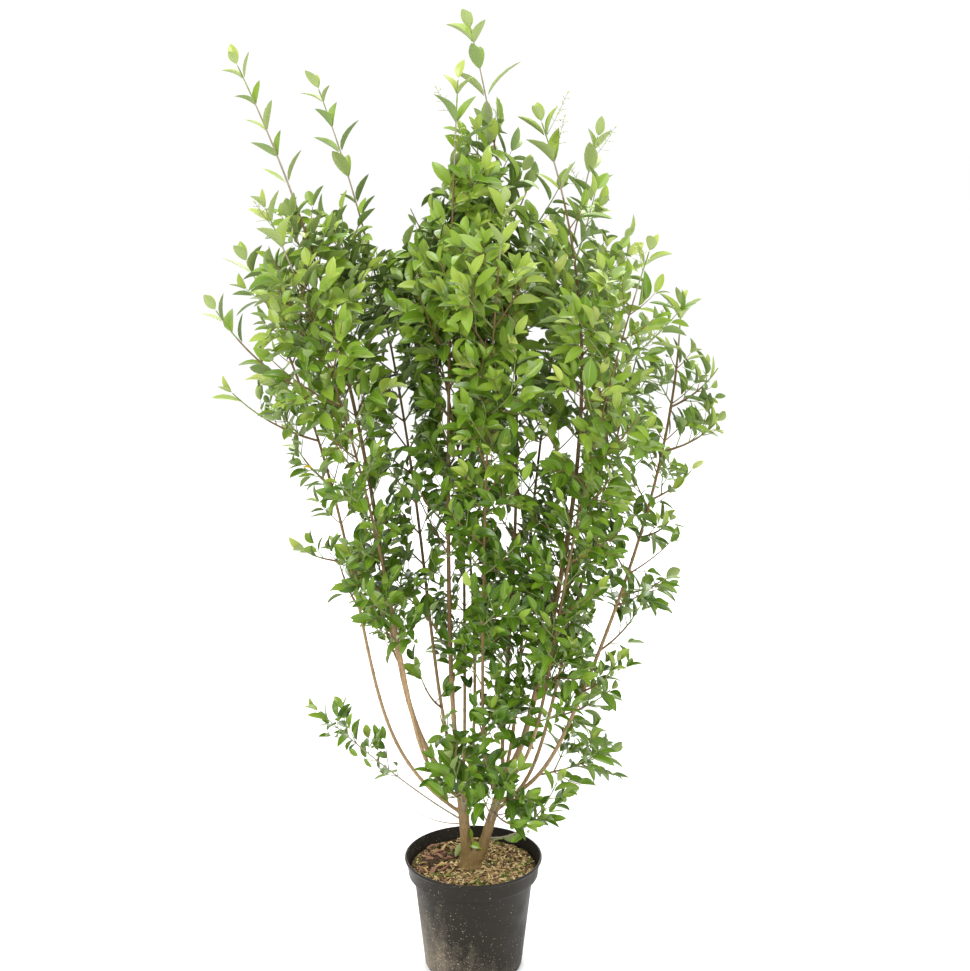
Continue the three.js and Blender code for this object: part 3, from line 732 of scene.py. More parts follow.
def pot_outline():
    """The pot's outline without its ends on the axis, with each corner rounded."""
    corners = [Vector((radius, z, 0)) for radius, z, rounding in POT_PROFILE]
    points = []
    for i in range(1, len(corners) - 1):
        before = (corners[i - 1] - corners[i]).normalized() * POT_PROFILE[i][2]
        after = (corners[i + 1] - corners[i]).normalized() * POT_PROFILE[i][2]
        for step in range(ROUNDING_STEPS + 1):
            t = step / ROUNDING_STEPS
            points.append(corners[i] + before * (1 - t) ** 2 + after * t ** 2)
    return points


def pot_shape():
    """The outline turned round Z."""
    outline = pot_outline()
    points = [
        Vector((*on_circle(point.x, TURN * j / POT_SIDES), point.y))
        for point in outline for j in range(POT_SIDES)
    ]
    shape = Shape()
    shape.add(points, ring_faces(len(outline), POT_SIDES) + end_faces(len(outline), POT_SIDES))
    return shape


def drain_holes():
    """What is cut out of the pot's floor."""
    shape = Shape()
    turns = [Vector((*on_circle(1, TURN * j / DRAIN_SIDES), 0)) for j in range(DRAIN_SIDES)]
    for i in range(DRAIN_COUNT):
        centre = Vector((*on_circle(1, (i + 0.5) / DRAIN_COUNT * TURN), 0)) * DRAIN_DISTANCE
        points = [centre + turn * DRAIN_RADIUS + UP * z for z in DRAIN_HEIGHTS for turn in turns]
        shape.add(points, ring_faces(2, DRAIN_SIDES) + end_faces(2, DRAIN_SIDES))
    return shape.object("drain_cutter", [])


def make_pot():
    pot = pot_shape().object("nursery_pot", [pot_material()])
    holes = drain_holes()
    cut = pot.modifiers.new("drain", "BOOLEAN")
    cut.object = holes
    cut.operation = "DIFFERENCE"
    apply_modifiers(pot)
    bpy.data.objects.remove(holes)
    pot.data.set_sharp_from_angle(angle=CRISP_EDGE)
    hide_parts("pot")
    finish_piece(pot)


def apply_modifiers(piece):
    graph = bpy.context.evaluated_depsgraph_get()
    made = bpy.data.meshes.new_from_object(piece.evaluated_get(graph))
    piece.modifiers.clear()
    old = piece.data
    piece.data = made
    bpy.data.meshes.remove(old)


def finish_piece(piece):
    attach(piece, "root")


# The mulch

def soil_height(x, y):
    """The mulch is level round the trunk and rises a little towards the pot's wall."""
    share = clamp((math.hypot(x, y) - 32) / 68)
    bumps = sum(noise.noise(Vector((x, y, layer)) * near) * height for layer, near, height in SOIL_BUMPS)
    return SOIL_LEVEL + 2.6 * share + bumps * (0.35 + 0.65 * share)


def make_soil():
    points = [Vector((0, 0, soil_height(0, 0)))]
    for i in range(1, SOIL_RINGS + 1):
        for j in range(SOIL_SIDES):
            x, y = on_circle(SOIL_RADIUS * i / SOIL_RINGS, TURN * j / SOIL_SIDES)
            points.append(Vector((x, y, soil_height(x, y))))
    rim = points[-SOIL_SIDES:]
    for share, z in SOIL_WALL:
        points += [Vector((p.x * share, p.y * share, z)) for p in rim]
    faces = [(0, 1 + j, 1 + (j + 1) % SOIL_SIDES) for j in range(SOIL_SIDES)]
    sides = ring_faces(SOIL_RINGS + len(SOIL_WALL), SOIL_SIDES, 1)
    faces += [(a, d, c, b) for a, b, c, d in sides]
    faces.append(tuple(reversed(range(len(points) - SOIL_SIDES, len(points)))))
    shape = Shape()
    shape.add(points, faces)
    soil = shape.object("soil_surface", [soil_material()])
    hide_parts("soil")
    finish_piece(soil)


def add_chip(shape, centre, heading, pitch, size, look, seed):
    """A bent strip of bark or straw."""
    ahead = Vector((*on_circle(math.cos(pitch), heading), math.sin(pitch)))
    across = UP.cross(ahead).normalized()
    across = (across + UP * (chance(seed, 7) - 0.5) * 0.9).normalized()
    above = ahead.cross(across).normalized()
    length, width, thick = size
    points = []
    for i in (-1, 0, 1):
        middle = centre + ahead * (i * length / 2)
        bow = (1 - abs(i)) * length * (chance(seed, 8) - 0.35) * 0.22
        half = width * (0.45 + 0.4 * chance(seed, 10 + i) if i else 1) / 2
        for x, z in ((-1, -1), (1, -1), (1, 1), (-1, 1)):
            points.append(middle + across * (x * half) + above * (z * thick / 2 + bow))
    shape.add(points, end_faces(3, 4) + ring_faces(3, 4), look)


def mulch_look(x, y, seed):
    """Straw and golden bark, darker and redder on the left, with moss in places."""
    roll = chance(seed, 1)
    left = clamp((-x - 20) / 60) * clamp((y + 60) / 60)
    if noise.noise(Vector((x, y, 40)) * 0.045) > 0.22 and roll < 0.6:
        return MOSSY
    if roll < 0.5 * left:
        return DARK if chance(seed, 2) < 0.55 else RED
    return bisect_left(MULCH_SHARES, chance(seed, 3))


def add_straw(shape):
    """Loose straw and crumbs of bark, up to the trunk and the pot's wall."""
    foot = TRUNK_SECTIONS[0]
    for seed in range(MULCH_COUNT):
        radius = math.sqrt(chance(seed, 11)) * (SOIL_RADIUS - 4)
        x, y = on_circle(radius, TURN * chance(seed, 12))
        if math.hypot(x - foot.x, y - foot.y) < TRUNK_CLEARANCE:
            continue
        look = mulch_look(x, y, seed)
        length = between(4, 13, chance(seed, 13) ** 1.6)
        width = pick(0.9, 2.6, seed, 14)
        if look in (DARK, RED):
            length, width = length * 1.3, width * 1.9
        if radius > PACKED_FROM:
            length *= 0.6
        centre = Vector((x, y, soil_height(x, y) + between(0.2, 2.6, chance(seed, 15) ** 2)))
        pitch = (chance(seed, 16) - 0.5) * 0.75
        add_chip(shape, centre, TURN * chance(seed, 17), pitch, (length, width, 0.7), look, seed)


def add_bark(shape):
    """Large pieces of bark on the left."""
    for seed in range(BARK_COUNT):
        angle = math.pi * pick(0.72, 1.12, seed, 21)
        x, y = on_circle(pick(40, PACKED_FROM, seed, 22), angle)
        centre = Vector((x, y, soil_height(x, y) + pick(2, 7, seed, 23)))
        size = (pick(12, 27, seed, 24), pick(4, 9, seed, 25), 1.8)
        pitch = (chance(seed, 26) - 0.4) * 0.9
        look = DARK if chance(seed, 27) < 0.5 else RED if chance(seed, 28) < 0.6 else GOLDEN
        add_chip(shape, centre, TURN * chance(seed, 29), pitch, size, look, seed)


def make_mulch():
    shape = Shape()
    add_straw(shape)
    add_bark(shape)
    looks = [mulch_material("mulch_%d" % i, colour) for i, colour in enumerate(MULCH_COLOURS)]
    finish_piece(shape.object("mulch", looks, smooth=False))


# The trunk and the boughs

def add_trunk(shape):
    """The trunk's foot, with shallow buttresses that fade upwards."""
    rings, sides = 16, 56
    low, high = TRUNK_SECTIONS[0].z - 2, TRUNK_SECTIONS[-1].z
    points = []
    for i in range(rings):
        z = between(low, high, i / (rings - 1))
        x, y, half_width, half_depth = read_table(TRUNK_SECTIONS, z)
        fade = clamp(1.25 - 0.07 * (z - SOIL_LEVEL), 0.3, 1.0)
        for j in range(sides):
            angle = TURN * j / sides
            flare = 1 + BUTTRESS * math.cos(3 * angle + 0.6) * fade
            across, deep = math.cos(angle) * half_width, math.sin(angle) * half_depth
            points.append(Vector((x + across * flare, y + deep * flare, z)))
    shape.add(points, end_faces(rings, sides) + ring_faces(rings, sides))


def bark_relief(point, normal):
    """Where the bark's surface is, at a point of the trunk."""
    ridges = noise.noise(Vector((point.x * 0.35, point.y * 0.35, point.z * 0.07)))
    lumps = noise.noise(point * 0.06)
    return point + normal * ((abs(ridges) * 0.9 - 0.25) * BARK_RELIEF + lumps * 0.7 * BARK_RELIEF)


def collar_radius(stem, distance):
    """A bough is thicker where it leaves its main stem."""
    z = stem.root + distance * 0.8
    return stem_radius(stem, z) * (1 + 0.55 * math.exp(-distance / 9))


def make_trunk():
    """The trunk, both main stems and the first part of each bough, grown into one surface."""
    shape = Shape()
    add_trunk(shape)
    for main in MAINS.values():
        path = Path([main_point(main, between(main.foot[2] - 6, main.tip[2], i / 30)) for i in range(31)])
        tube(shape, path, taper(main.foot_radius, main.tip_radius, path), 20, 3)
    for stem in STEMS.values():
        collar = stem_path(stem, stem.root, stem.enters).part(0, COLLAR, 12)
        tube(shape, collar, lambda d: collar_radius(stem, d), 12, 2)
    trunk = shape.object("trunk_bark", [bark_material()])
    join = trunk.modifiers.new("join", "REMESH")
    join.mode = "VOXEL"
    join.voxel_size = BARK_VOXEL * MM
    soften = trunk.modifiers.new("soften", "SMOOTH")
    soften.factor = 0.5
    soften.iterations = BARK_SMOOTHING
    apply_modifiers(trunk)
    pairs = zip(trunk.data.vertices, trunk.data.vertex_normals)
    relief = [c * MM for vertex, normal in pairs for c in bark_relief(vertex.co / MM, normal.vector)]
    trunk.data.vertices.foreach_set("co", relief)
    trunk.data.polygons.foreach_set("use_smooth", [True] * len(trunk.data.polygons))
    trunk.data.update()
    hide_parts("trunk", *["main_stem_" + name for name in MAINS])
    finish_piece(trunk)


def bough_radius(stem, path, distance, seed):
    """A bough tapers, is a little rough, and has a ring at each old node."""
    rough = noise.noise(Vector((distance * 0.14, seed * 9.0, 0))) * 0.05
    rings = node_swelling(distance + seed * 7, OLD_NODE_GAP, 0.45)
    return stem_radius(stem, path.at(distance)[0].z) * (1 + rough) + rings


def make_boughs():
    """The boughs above their collars."""
    shape = Shape()
    for seed, stem in enumerate(STEMS.values()):
        path = stem_path(stem, stem.root, stem.enters + 6)
        rest = path.part(COLLAR - COLLAR_OVERLAP, path.length, 60)
        tube(shape, rest, lambda d: bough_radius(stem, rest, d, seed), 12, 2.4)
    boughs = shape.object("boughs", [bark_material()])
    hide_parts(*["stem_" + name for name in STEMS])
    finish_piece(boughs)


# The leafy shoots

# `leader` is the length of the leafy end, `bare` the share without twigs at the root, and
# `holds` says whether a point is within the shoot's reach
Shoot = namedtuple("Shoot", "name path radii leader twig gap bare holds seed")


def crown_shoot(name, stem, seed):
    path = stem_path(stem, stem.enters, stem.top - CROWN_END)
    radii = (stem_radius(stem, stem.enters), LEADER_TIP_RADIUS)
    return Shoot(name, path, radii, stem.leader, stem.twig, 0, 0, lambda p: p.z < stem.top, seed)


def arched_shoot(name, root, bend, to, end, radii, twig, bare, seed):
    """A shoot that bends away from its root."""
    to = Vector(to)
    path = bezier(root, root + Vector(bend), root + to * (1 - end / to.length), 24)
    reach = to.length + 4
    return Shoot(
        name, path, radii, SIDE_LEADER, twig, SIDE_PAIR_GAP, bare,
        lambda p: (p - root).length < reach and p.z > SOIL_LEVEL + 6, seed,
    )


def side_shoot(name, shoot, seed):
    root = stem_point(STEMS[shoot.stem], shoot.root)
    bend = [way * share for way, share in zip(shoot.to, SIDE_BEND)]
    return arched_shoot(name, root, bend, shoot.to, SIDE_END, SIDE_RADII, shoot.twig, SIDE_BARE, seed)


def low_shoot(name, shoot, seed):
    root = main_point(MAINS[shoot.main], shoot.root)
    return arched_shoot(
        name, root, shoot.bend, shoot.to, LOW_END, LOW_RADII, shoot.twig, shoot.bare, seed,
    )


def dressed_shoot(name, row, seed):
    """The bare part of an outer stem, with short leafy twigs on it."""
    start, twig = row
    path = stem_path(STEMS[name], start, STEMS[name].enters)
    return Shoot(name, path, (0, 0), 0, twig, DRESSED_GAP, 0, lambda p: p.z > start - 20, seed)


def all_shoots():
    rows = [(crown_shoot, name, stem) for name, stem in STEMS.items()]
    for stem, shoots in SIDE_SHOOTS.items():
        for letter, shoot in zip("abcdefgh", shoots):
            rows.append((side_shoot, stem + "_" + letter, SideShoot(stem, *shoot)))
    rows += [(low_shoot, name, shoot) for name, shoot in LOW_SHOOTS.items()]
    return [make(name, row, i + 1) for i, (make, name, row) in enumerate(rows)]


class Room:
    """Points in space, found again by nearness."""

    def __init__(self, size):
        self.size = size
        self.cells = {}

    def key(self, point):
        return tuple(int(c // self.size) for c in point)

    def add(self, point):
        self.cells.setdefault(self.key(point), []).append(point)

    def is_free(self, point, distance):
        cells = product(*((i - 1, i, i + 1) for i in self.key(point)))
        near = (other for cell in cells for other in self.cells.get(cell, ()))
        return all((other - point).length >= distance for other in near)


Leaf = namedtuple("Leaf", "foot along facing length width tone seed")


class Crown:
    """Everything that grows: leaves, twigs and sprays of buds."""

    def __init__(self, low, high):
        self.low = low
        self.high = high
        self.leaves = []
        self.twigs = Shape()
        self.buds = Shape()
        self.leaf_room = Room(16)
        self.wood_room = Room(12)

    def keep_clear_of(self, path):
        count = int(path.length / WOOD_POINT_GAP)
        for i in range(count):
            self.wood_room.add(path.at(path.length * i / count)[0])

    def in_box(self, point):
        low, high = self.low, self.high
        return all(low[i] - BOX_MARGIN < point[i] < high[i] + BOX_MARGIN for i in range(3))

    def has_room(self, shoot, foot, along, facing, size):
        """Whether a leaf is within its shoot's reach, off the sky, and clear of what is there."""
        across = along.cross(facing).normalized()
        middle, tip = foot + along * size * 0.5, foot + along * size
        edges = [middle + across * size * 0.2, middle - across * size * 0.2]
        if not (shoot.holds(tip) and self.in_box(tip) and all(map(self.in_box, edges))):
            return False
        if is_open(middle) or is_open(tip):
            return False
        if not self.leaf_room.is_free(middle, LEAF_ROOM * size / 45):
            return False
        return all(self.wood_room.is_free(p, WOOD_ROOM) for p in (middle, tip))

    def add_leaf(self, shoot, foot, along, facing, length, width, tone, seed):
        """Adds a leaf in the largest size that has room."""
        for share in LEAF_SIZES:
            size = length * share
            if self.has_room(shoot, foot, along, facing, size):
                self.leaf_room.add(foot + along * size * 0.5)
                self.leaves.append(Leaf(foot, along, facing, size, width, tone, seed))
                return


def tone_with_painted_light_at(shoot, point, k, young):
    """Which green a pair of leaves has: darker low down and inside as painted shade, paler up top and
    outside as painted light, lime on young tips.
    """
    # Painted shade inside the crown and low down, painted light on its outside and top; the young tips
    # and the random spread are the leaves' own colour
    painted_light_share = clamp((point.xy.length - PAINTED_LIGHT_FROM) / PAINTED_LIGHT_OVER)
    rolls = [chance(shoot.seed, k, key) - 0.5 for key in (61, 62)]
    tone = read_table(LEAF_TONES_WITH_PAINTED_LIGHT, point.z)[0]
    tone += OUTSIDE_PAINTED_LIGHT * painted_light_share + rolls[0] * TONE_SPREADS[0] + rolls[1] * TONE_SPREADS[1] + young
    return int(clamp(round(tone), 0, len(GREENS) - 1))


def side_of(frame, seed, k, hand, aside=0.0):
    """Which way a leaf or twig leaves its shoot: each pair is turned a quarter from the last."""
    turn = k * math.pi / 2 + aside + (chance(seed, k, 1) - 0.5) * 0.9
    return (frame.across * math.cos(turn) + frame.outward * math.sin(turn)) * hand


def sky_side(point):
    """The way a twig's blades turn: to the sky and away from the middle of the shrub."""
    outwards = Vector((point.x, point.y - 30, 0))
    outwards = outwards.normalized() if outwards.length > 1 else -DEPTH
    return (UP + outwards * OUTWARD_TILT).normalized()


def flat_side(frame, seed, k, hand):
    """Leaves of a side twig spread to its two sides, in one plane that faces the sky."""
    across = frame.ahead.cross(sky_side(frame.point)).normalized()
    other = across.cross(frame.ahead)
    turn = (chance(seed, k, 1) - 0.5) * 1.3
    return (across * math.cos(turn) + other * math.sin(turn)) * hand


def leaf_facing(frame, along, side, upright, seed, key):
    """The way a blade faces: its own shoot's tip and wood, the sky, and a little outwards."""
    tilt = Vector([chance(seed, key, i) - 0.5 for i in (5, 6, 7)])
    facing = (frame.ahead - side * 0.5) * upright + sky_side(frame.point) * (1 - upright) * 1.3
    facing += tilt * (1.1 - upright)
    return (facing - along * facing.dot(along)).normalized()


def add_pair(crown, shoot, frame, k, spread, share, upright, young):
    size = read_table(LEAF_LENGTHS, frame.point.z)[0] * share * (SIDE_LEAF_SHARE if shoot.gap else 1)
    on_leader = upright == UPRIGHT
    width = LEAF_WIDTH if not on_leader else END_WIDTH if young else LEADER_WIDTH
    tone = tone_with_painted_light_at(shoot, frame.point, k, young)
    for hand in (1, -1):
        key = k * 4 + hand + 1
        if on_leader:
            side = side_of(frame, shoot.seed, k, hand, 0.35)
        else:
            side = flat_side(frame, shoot.seed, k, hand)
        turn = spread * (0.85 + 0.3 * chance(shoot.seed, key, 31))
        along = (frame.ahead * math.cos(turn) + side * math.sin(turn)).normalized()
        along = (along - UP * 0.06 * (1 - upright)).normalized()
        facing = leaf_facing(frame, along, side, upright, shoot.seed, key)
        length = size * (0.7 + 0.46 * chance(shoot.seed, key, 32))
        seed = shoot.seed * 997 + key
        crown.add_leaf(shoot, frame.point + along * 0.8, along, facing, length, width, tone, seed)


def twig_path(frame, side, length):
    leaves = frame.ahead * math.cos(SPREAD) + side * math.sin(SPREAD)
    bend = frame.point + leaves * length * 0.5
    turned_up = (leaves + UP * LIFT).normalized()
    return bezier(frame.point, bend, bend + turned_up * length * 0.5, 8)


def grow_twig(crown, shoot, frame, k, hand, length, depth=0):
    """A leafy twig, with finer twigs on it where it is long."""
    for share, aside in TRIES:
        side = side_of(frame, shoot.seed, k, hand, math.pi / 4 + aside)
        path = twig_path(frame, side, length * share)
        tip = path.points[-1]
        middle = path.at(path.length * 0.6)[0]
        if not (shoot.holds(tip) and crown.in_box(tip)) or is_open(tip):
            continue
        if crown.wood_room.is_free(tip, 7) and crown.wood_room.is_free(middle, 5):
            leaf_twig(crown, shoot, path, k * 16 + hand * 3 + depth * 977, depth)
            return


def leaf_twig(crown, shoot, path, key, depth):
    """Pairs of leaves from the twig's tip inwards, with finer twigs instead of some pairs."""
    before = len(crown.leaves)
    gap = TWIG_PAIR_GAP[0] + TWIG_PAIR_GAP[1] * path.length
    along = path.length - 2
    place = 0
    forks = depth == 0 and path.length > FINE_TWIG_FROM
    while along > gap * 0.55:
        frame = frame_at(path, along)
        roll = chance(shoot.seed, key, place, 42)
        if forks and along < path.length * 0.62 and roll < FINE_TWIG_CHANCE:
            for hand in (1, -1):
                length = path.length * pick(*FINE_TWIG_SHARES, shoot.seed, key, place, hand + 1)
                grow_twig(crown, shoot, frame, key + place, hand, length, depth + 1)
        else:
            young = int(place == 0 and chance(shoot.seed, key, 41) < YOUNG_CHANCE)
            share = PLACE_SHARES[min(place, 3)] * 0.9
            add_pair(crown, shoot, frame, key + place, 0.85 if place else 0.35, share, FLAT, young)
        along -= gap
        place += 1
    if len(crown.leaves) - before < 2:
        return
    width = clamp(path.length / 80, 0.6, 1.1)
    radius_at = taper(TWIG_RADII[0] * width, TWIG_RADII[1] * width, path)
    look = GREEN if chance(shoot.seed, key, 43) < GREEN_TWIG_CHANCE else BROWN
    tube(crown.twigs, path, radius_at, 5, max(7, path.length / 7), look)
    if depth == 0:
        crown.keep_clear_of(path)


def grow_shoot(crown, shoot):
    """Pairs of twigs along a shoot, each turned a quarter from the last, and a leafy leader."""
    path, seed = shoot.path, shoot.seed
    along = path.length * shoot.bare + (shoot.gap or LEADER_GAP) * 0.4
    k = 0
    while along < path.length - 10:
        frame = frame_at(path, along)
        height_share, gap = read_table(REACHES, frame.point.z)
        left = path.length - along
        if shoot.leader and (not shoot.twig or left < shoot.leader):
            break
        reach = clamp(0.55 + (left - shoot.leader) / 260, 0.55, 1)
        reach *= 1 if shoot.gap else height_share
        for hand in (1, -1):
            length = shoot.twig * pick(*TWIG_SHARES, seed, k, hand + 2, 2) * reach
            length *= between(1, DEPTH_SHARE, abs(side_of(frame, seed, k, hand, math.pi / 4).y))
            grow_twig(crown, shoot, frame, k, hand, length)
        along += (shoot.gap or gap) * (0.85 + 0.3 * chance(seed, k, 3))
        k += 1
    if shoot.leader:
        grow_leader(crown, shoot, path.length - along)


def grow_leader(crown, shoot, left):
    """Pairs of leaves on the last part of a shoot, smaller and closer at its tip."""
    path = shoot.path
    gap = shoot.gap or LEADER_GAP
    slender = clamp(170 / shoot.leader, 0.78, 1)
    for i in range(int((left - END_GAP) / gap), -1, -1):
        down = END_GAP + i * gap
        frame = frame_at(path, path.length - down)
        share = between(0.88, 1.22, clamp(down / 120)) * slender
        spread, young = (0.62, 0) if i else (0.5, 1)
        add_pair(crown, shoot, frame, 50 - i, spread, share, UPRIGHT, young)
    tip = frame_at(path, path.length)
    add_pair(crown, shoot, tip, 51, 0.3, END_SHARE * slender, UPRIGHT, YOUNG_END)


def add_bud(shape, point, ahead, size):
    """A bud: a small eight-sided grain."""
    across = ahead.orthogonal().normalized()
    other = ahead.cross(across)
    ring = [across, other, -across, -other]
    points = [point] + [point + ahead * size * 0.55 + side * size * 0.36 for side in ring]
    points.append(point + ahead * size)
    faces = [(0, 1 + (j + 1) % 4, 1 + j) for j in range(4)]
    faces += [(1 + j, 1 + (j + 1) % 4, 5) for j in range(4)]
    shape.add(points, faces, 1)


def grow_stalk(shape, place, seed, k, hand):
    """A side stalk of a spray, with a bud at its tip and one or two below."""
    way = (place.ahead * 0.6 + side_of(place, seed, k, hand)).normalized()
    reach = between(*BUD_STALKS, k / (BUD_PAIRS - 1))
    tip = place.point + way * reach
    stalk = Path([place.point, place.point.lerp(tip, 0.5), tip])
    tube(shape, stalk, taper(0.3, 0.3, stalk), 3, 6)
    for j in range(2 + (k < 3)):
        turned = (way + side_of(place, seed, j + k, 1) * 0.7 * (j > 0)).normalized()
        add_bud(shape, tip - way * reach * 0.28 * j, turned, pick(*BUD_SIZES, seed, k, j))


def grow_spray(crown, shoot, down, length, aside, seed):
    """A loose spray of buds on side stalks that get shorter towards its tip."""
    frame = frame_at(shoot.path, shoot.path.length - down)
    way = (frame.ahead * 0.75 + Vector((*aside, 0.5))).normalized()
    bend, end = frame.point + way * length * 0.5, frame.point + way * length + UP * 8
    path = bezier(frame.point, bend, end, 10)
    if not crown.in_box(end):
        return
    tube(crown.buds, path, taper(0.6, 0.35, path), 4, 8)
    for k in range(BUD_PAIRS):
        place = frame_at(path, path.length * between(0.35, 0.96, k / (BUD_PAIRS - 1)))
        for hand in (1, -1):
            grow_stalk(crown.buds, place, seed, k, hand)
    add_bud(crown.buds, path.points[-1], way, 3)


def make_buds(crown, shoots):
    by_name = {shoot.name: shoot for shoot in shoots}
    for seed, (name, down, length, aside) in enumerate(BUD_SPRAYS):
        grow_spray(crown, by_name[name], down, length, aside, seed + 1)
    looks = [wood_material("bud_stalks", GREEN_WOOD, 0.6), wood_material("buds", BUD_GREEN, 0.5)]
    finish_piece(crown.buds.object("buds", looks))


def shoot_wood(shape, shoot, start):
    """The shoot's own wood: brown or grey, then grey where it is young, then green at its tip."""
    path, (root, tip) = shoot.path, shoot.radii
    green = path.length - min(GREEN_WOOD_LENGTH, path.length * 0.35)
    grey = path.length - min(YOUNG_WOOD, shoot.leader * 0.85)

    def radius(distance):
        return between(root, tip, distance / path.length) + node_swelling(distance, LEADER_GAP, 0.3)

    tube(shape, path, radius, 8, 4, lambda d: GREEN if d > green else GREY if d > grey else start)


def make_wood(shoots, spurs, crown):
    shape = crown.twigs
    for shoot in shoots + spurs:
        shoot_wood(shape, shoot, GREY if shoot.bare > 0.2 else BROWN)
    for main, root, bend, tip in BARE_TWIGS:
        foot = main_point(MAINS[main], root)
        path = bezier(foot, foot + Vector(bend), foot + Vector(tip), 14)
        tube(shape, path, taper(1.3, 0.5, path), 6, 5, GREY)
    looks = [
        wood_material("brown_wood", BROWN_BARK, 0.7),
        wood_material("green_wood", GREEN_WOOD, 0.55),
        wood_material("grey_wood", GREY_WOOD, 0.8),
    ]
    wood = shape.object("twigs", looks)
    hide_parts(*["foliage_" + shoot.name for shoot in shoots])
    finish_piece(wood)


# The leaves

def outline_share(s):
    """Half a blade's width at a share of its length: a lens, widest below the middle."""
    s = s ** 0.9
    return (4 * s * (1 - s)) ** 0.86


def blade_faces():
    """The faces of a blade's green upper side, of its midrib and of its underside."""
    inner = len(LEAF_STATIONS) - 1
    upper = [(2, 5, 4), (2, 6, 5), (3, 8, 7), (3, 9, 8)]
    rib = [(0, 1, 3, 2), (2, 3, 7, 6)]
    for a in range(4, 4 + 6 * inner, 6):
        upper += [(a + j, a + j + 1, a + j + 7, a + j + 6) for j in (0, 1, 3, 4)]
        rib.append((a + 2, a + 3, a + 9, a + 8))
    last = 4 + 6 * inner
    tip = last + 6
    upper += [(last + j, last + j + 1, tip) for j in (0, 1, 3, 4)]
    rib.append((last + 2, last + 3, tip))
    foot = tip + 1
    under = [(foot, foot + 1, foot + 2), (foot, foot + 2, foot + 3)]
    for a in range(foot + 1, foot + 1 + 3 * inner, 3):
        under += [(a, a + 3, a + 4, a + 1), (a + 1, a + 4, a + 5, a + 2)]
    a = foot + 1 + 3 * inner
    under += [(a, a + 3, a + 1), (a + 1, a + 3, a + 2)]
    return upper, rib, under


def leaf_blade(shape, leaf, sides):
    """A folded, arching blade with a pale midrib and a paler underside."""
    across = leaf.along.cross(leaf.facing).normalized()
    above = across.cross(leaf.along)
    stalk = leaf.length * STALK
    length = leaf.length - stalk
    half = length * leaf.width / 2 * (0.88 + 0.26 * chance(leaf.seed, 71))
    fold = pick(*FOLDS, leaf.seed, 72) * LEAF_WIDTH / leaf.width
    arching = pick(*ARCHES, leaf.seed, 73)
    twist = (chance(leaf.seed, 74) - 0.5) * 0.5
    root = leaf.foot + leaf.along * stalk

    def place(x, s, lift=0.0):
        wide = outline_share(s) * half if 0 < s < 1 else 0
        out = x * max(wide, STALK_HALF_WIDTH) if abs(x) <= RIB else x * wide
        turn = twist * s
        sideways = across * math.cos(turn) + above * math.sin(turn)
        up = above * math.cos(turn) - across * math.sin(turn)
        rise = abs(out) * fold - arching * length * s * s + lift
        rise += 0.05 * half * math.sin(math.pi * min(abs(x), 1)) * (1 if s < 1 else 0)
        return root + leaf.along * (length * s * (1 - 0.12 * arching * s)) + sideways * out + up * rise

    edge = across * STALK_HALF_WIDTH
    points = [leaf.foot - edge, leaf.foot + edge, place(-RIB, 0), place(RIB, 0)]
    points += [place(x, s) for s in LEAF_STATIONS for x in LEAF_COLUMNS]
    points += [place(0, 1), place(0, 0, -0.25)]
    points += [place(x, s, lift) for s in LEAF_STATIONS for x, lift in ((-1, 0), (0, -0.4), (1, 0))]
    points.append(place(0, 1))
    # The midrib and underside greens follow the blade's tone, with its painted shade and painted light
    pale = len(GREENS) + leaf.tone // 2
    looks = (leaf.tone, pale, pale + len(RIB_GREENS))
    if leaf.tone == YELLOW_TONE:
        looks = (YELLOW_TONE,) * 3
    faces = [face for side in sides for face in side]
    shape.add(points, faces, [look for look, side in zip(looks, sides) for face in side])


def make_leaves(crown):
    """The leaves in layers, from the foot of the shrub to its top."""
    looks = [leaf_material("leaf_%d" % i, c, 0.3, coat=0.1) for i, c in enumerate(GREENS)]
    looks += [leaf_material("rib_%d" % i, c, 0.5) for i, c in enumerate(RIB_GREENS)]
    looks += [leaf_material("under_%d" % i, c, 0.6) for i, c in enumerate(UNDER_GREENS)]
    looks.append(leaf_material("leaf_yellow", YELLOW_LEAF, 0.5))
    leaves = sorted(crown.leaves, key=lambda leaf: leaf.foot.z)
    old = min(range(len(leaves)), key=lambda i: (leaves[i].foot - YELLOW_PLACE).length)
    leaves[old] = leaves[old]._replace(tone=YELLOW_TONE)
    sides = blade_faces()
    for i in range(0, len(leaves), LEAVES_PER_PIECE):
        shape = Shape()
        for leaf in leaves[i:i + LEAVES_PER_PIECE]:
            leaf_blade(shape, leaf, sides)
        name = "leaves_%d" % (i // LEAVES_PER_PIECE + 1)
        finish_piece(shape.object(name, looks))


# The studio

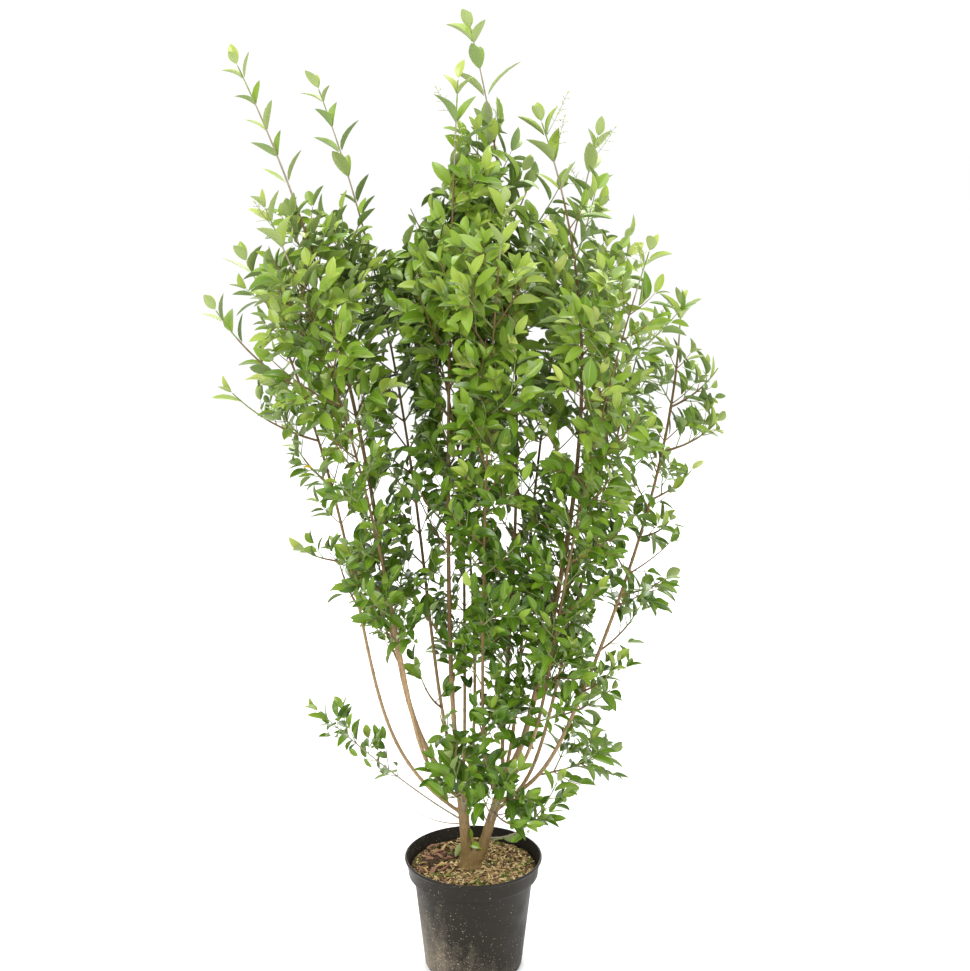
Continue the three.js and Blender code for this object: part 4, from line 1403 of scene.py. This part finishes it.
def make_floor():
    """A wide pale floor that runs to the horizon."""
    bpy.ops.mesh.primitive_plane_add(size=FLOOR_SIZE, location=(0, 0, -0.0004))
    floor = bpy.context.object
    floor.name = "floor"
    floor.data.materials.append(node_material("floor", FLOOR_GREY, 1.0)[0])
    floor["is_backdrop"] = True


def make_lights():
    for name, (place, size, power) in LIGHTS.items():
        data = bpy.data.lights.new(name, "AREA")
        data.size = size
        data.energy = power
        light = add_object(name, data)
        light.location = place
        light.rotation_euler = (LIGHT_AIM - Vector(place)).to_track_quat("-Z", "Y").to_euler()


def make_sky():
    world = bpy.data.worlds.new("studio")
    bpy.context.scene.world = world
    world.use_nodes = True
    sky = world.node_tree.nodes["Background"]
    sky.inputs["Color"].default_value = (1, 1, 1, 1)
    sky.inputs["Strength"].default_value = SKY_STRENGTH
    bpy.context.scene.view_settings.view_transform = "Standard"


def make_camera():
    data = bpy.data.cameras.new("camera")
    data.sensor_width = SENSOR
    data.lens = FOCAL_PIXELS / FRAME_PIXELS * SENSOR
    data.clip_end = 30
    camera = add_object("camera", data)
    camera.location = CAMERA_PLACE
    camera.rotation_euler = (CAMERA_TILT, 0, 0)
    bpy.context.scene.camera = camera


def grow_crown(low, high):
    """The leaves, twigs and buds, from the shoots' own paths."""
    crown = Crown(low / MM, high / MM)
    shoots = all_shoots()
    spurs = [low_shoot(name, row, seed) for seed, (name, row) in enumerate(SPURS.items(), SPUR_SEED)]
    rows = enumerate(DRESSED.items(), DRESSED_SEED)
    growing = shoots + spurs + [dressed_shoot(name, row, seed) for seed, (name, row) in rows]
    for shoot in growing:
        crown.keep_clear_of(shoot.path)
    for shoot in growing:
        grow_shoot(crown, shoot)
    make_wood(shoots, spurs, crown)
    make_leaves(crown)
    make_buds(crown, shoots)


def main():
    for old in list(bpy.data.objects):
        bpy.data.objects.remove(old)
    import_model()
    low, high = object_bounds()
    make_camera()
    make_sky()
    make_lights()
    make_floor()
    make_pot()
    make_soil()
    make_mulch()
    make_trunk()
    make_boughs()
    grow_crown(low, high)
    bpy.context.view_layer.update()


main()
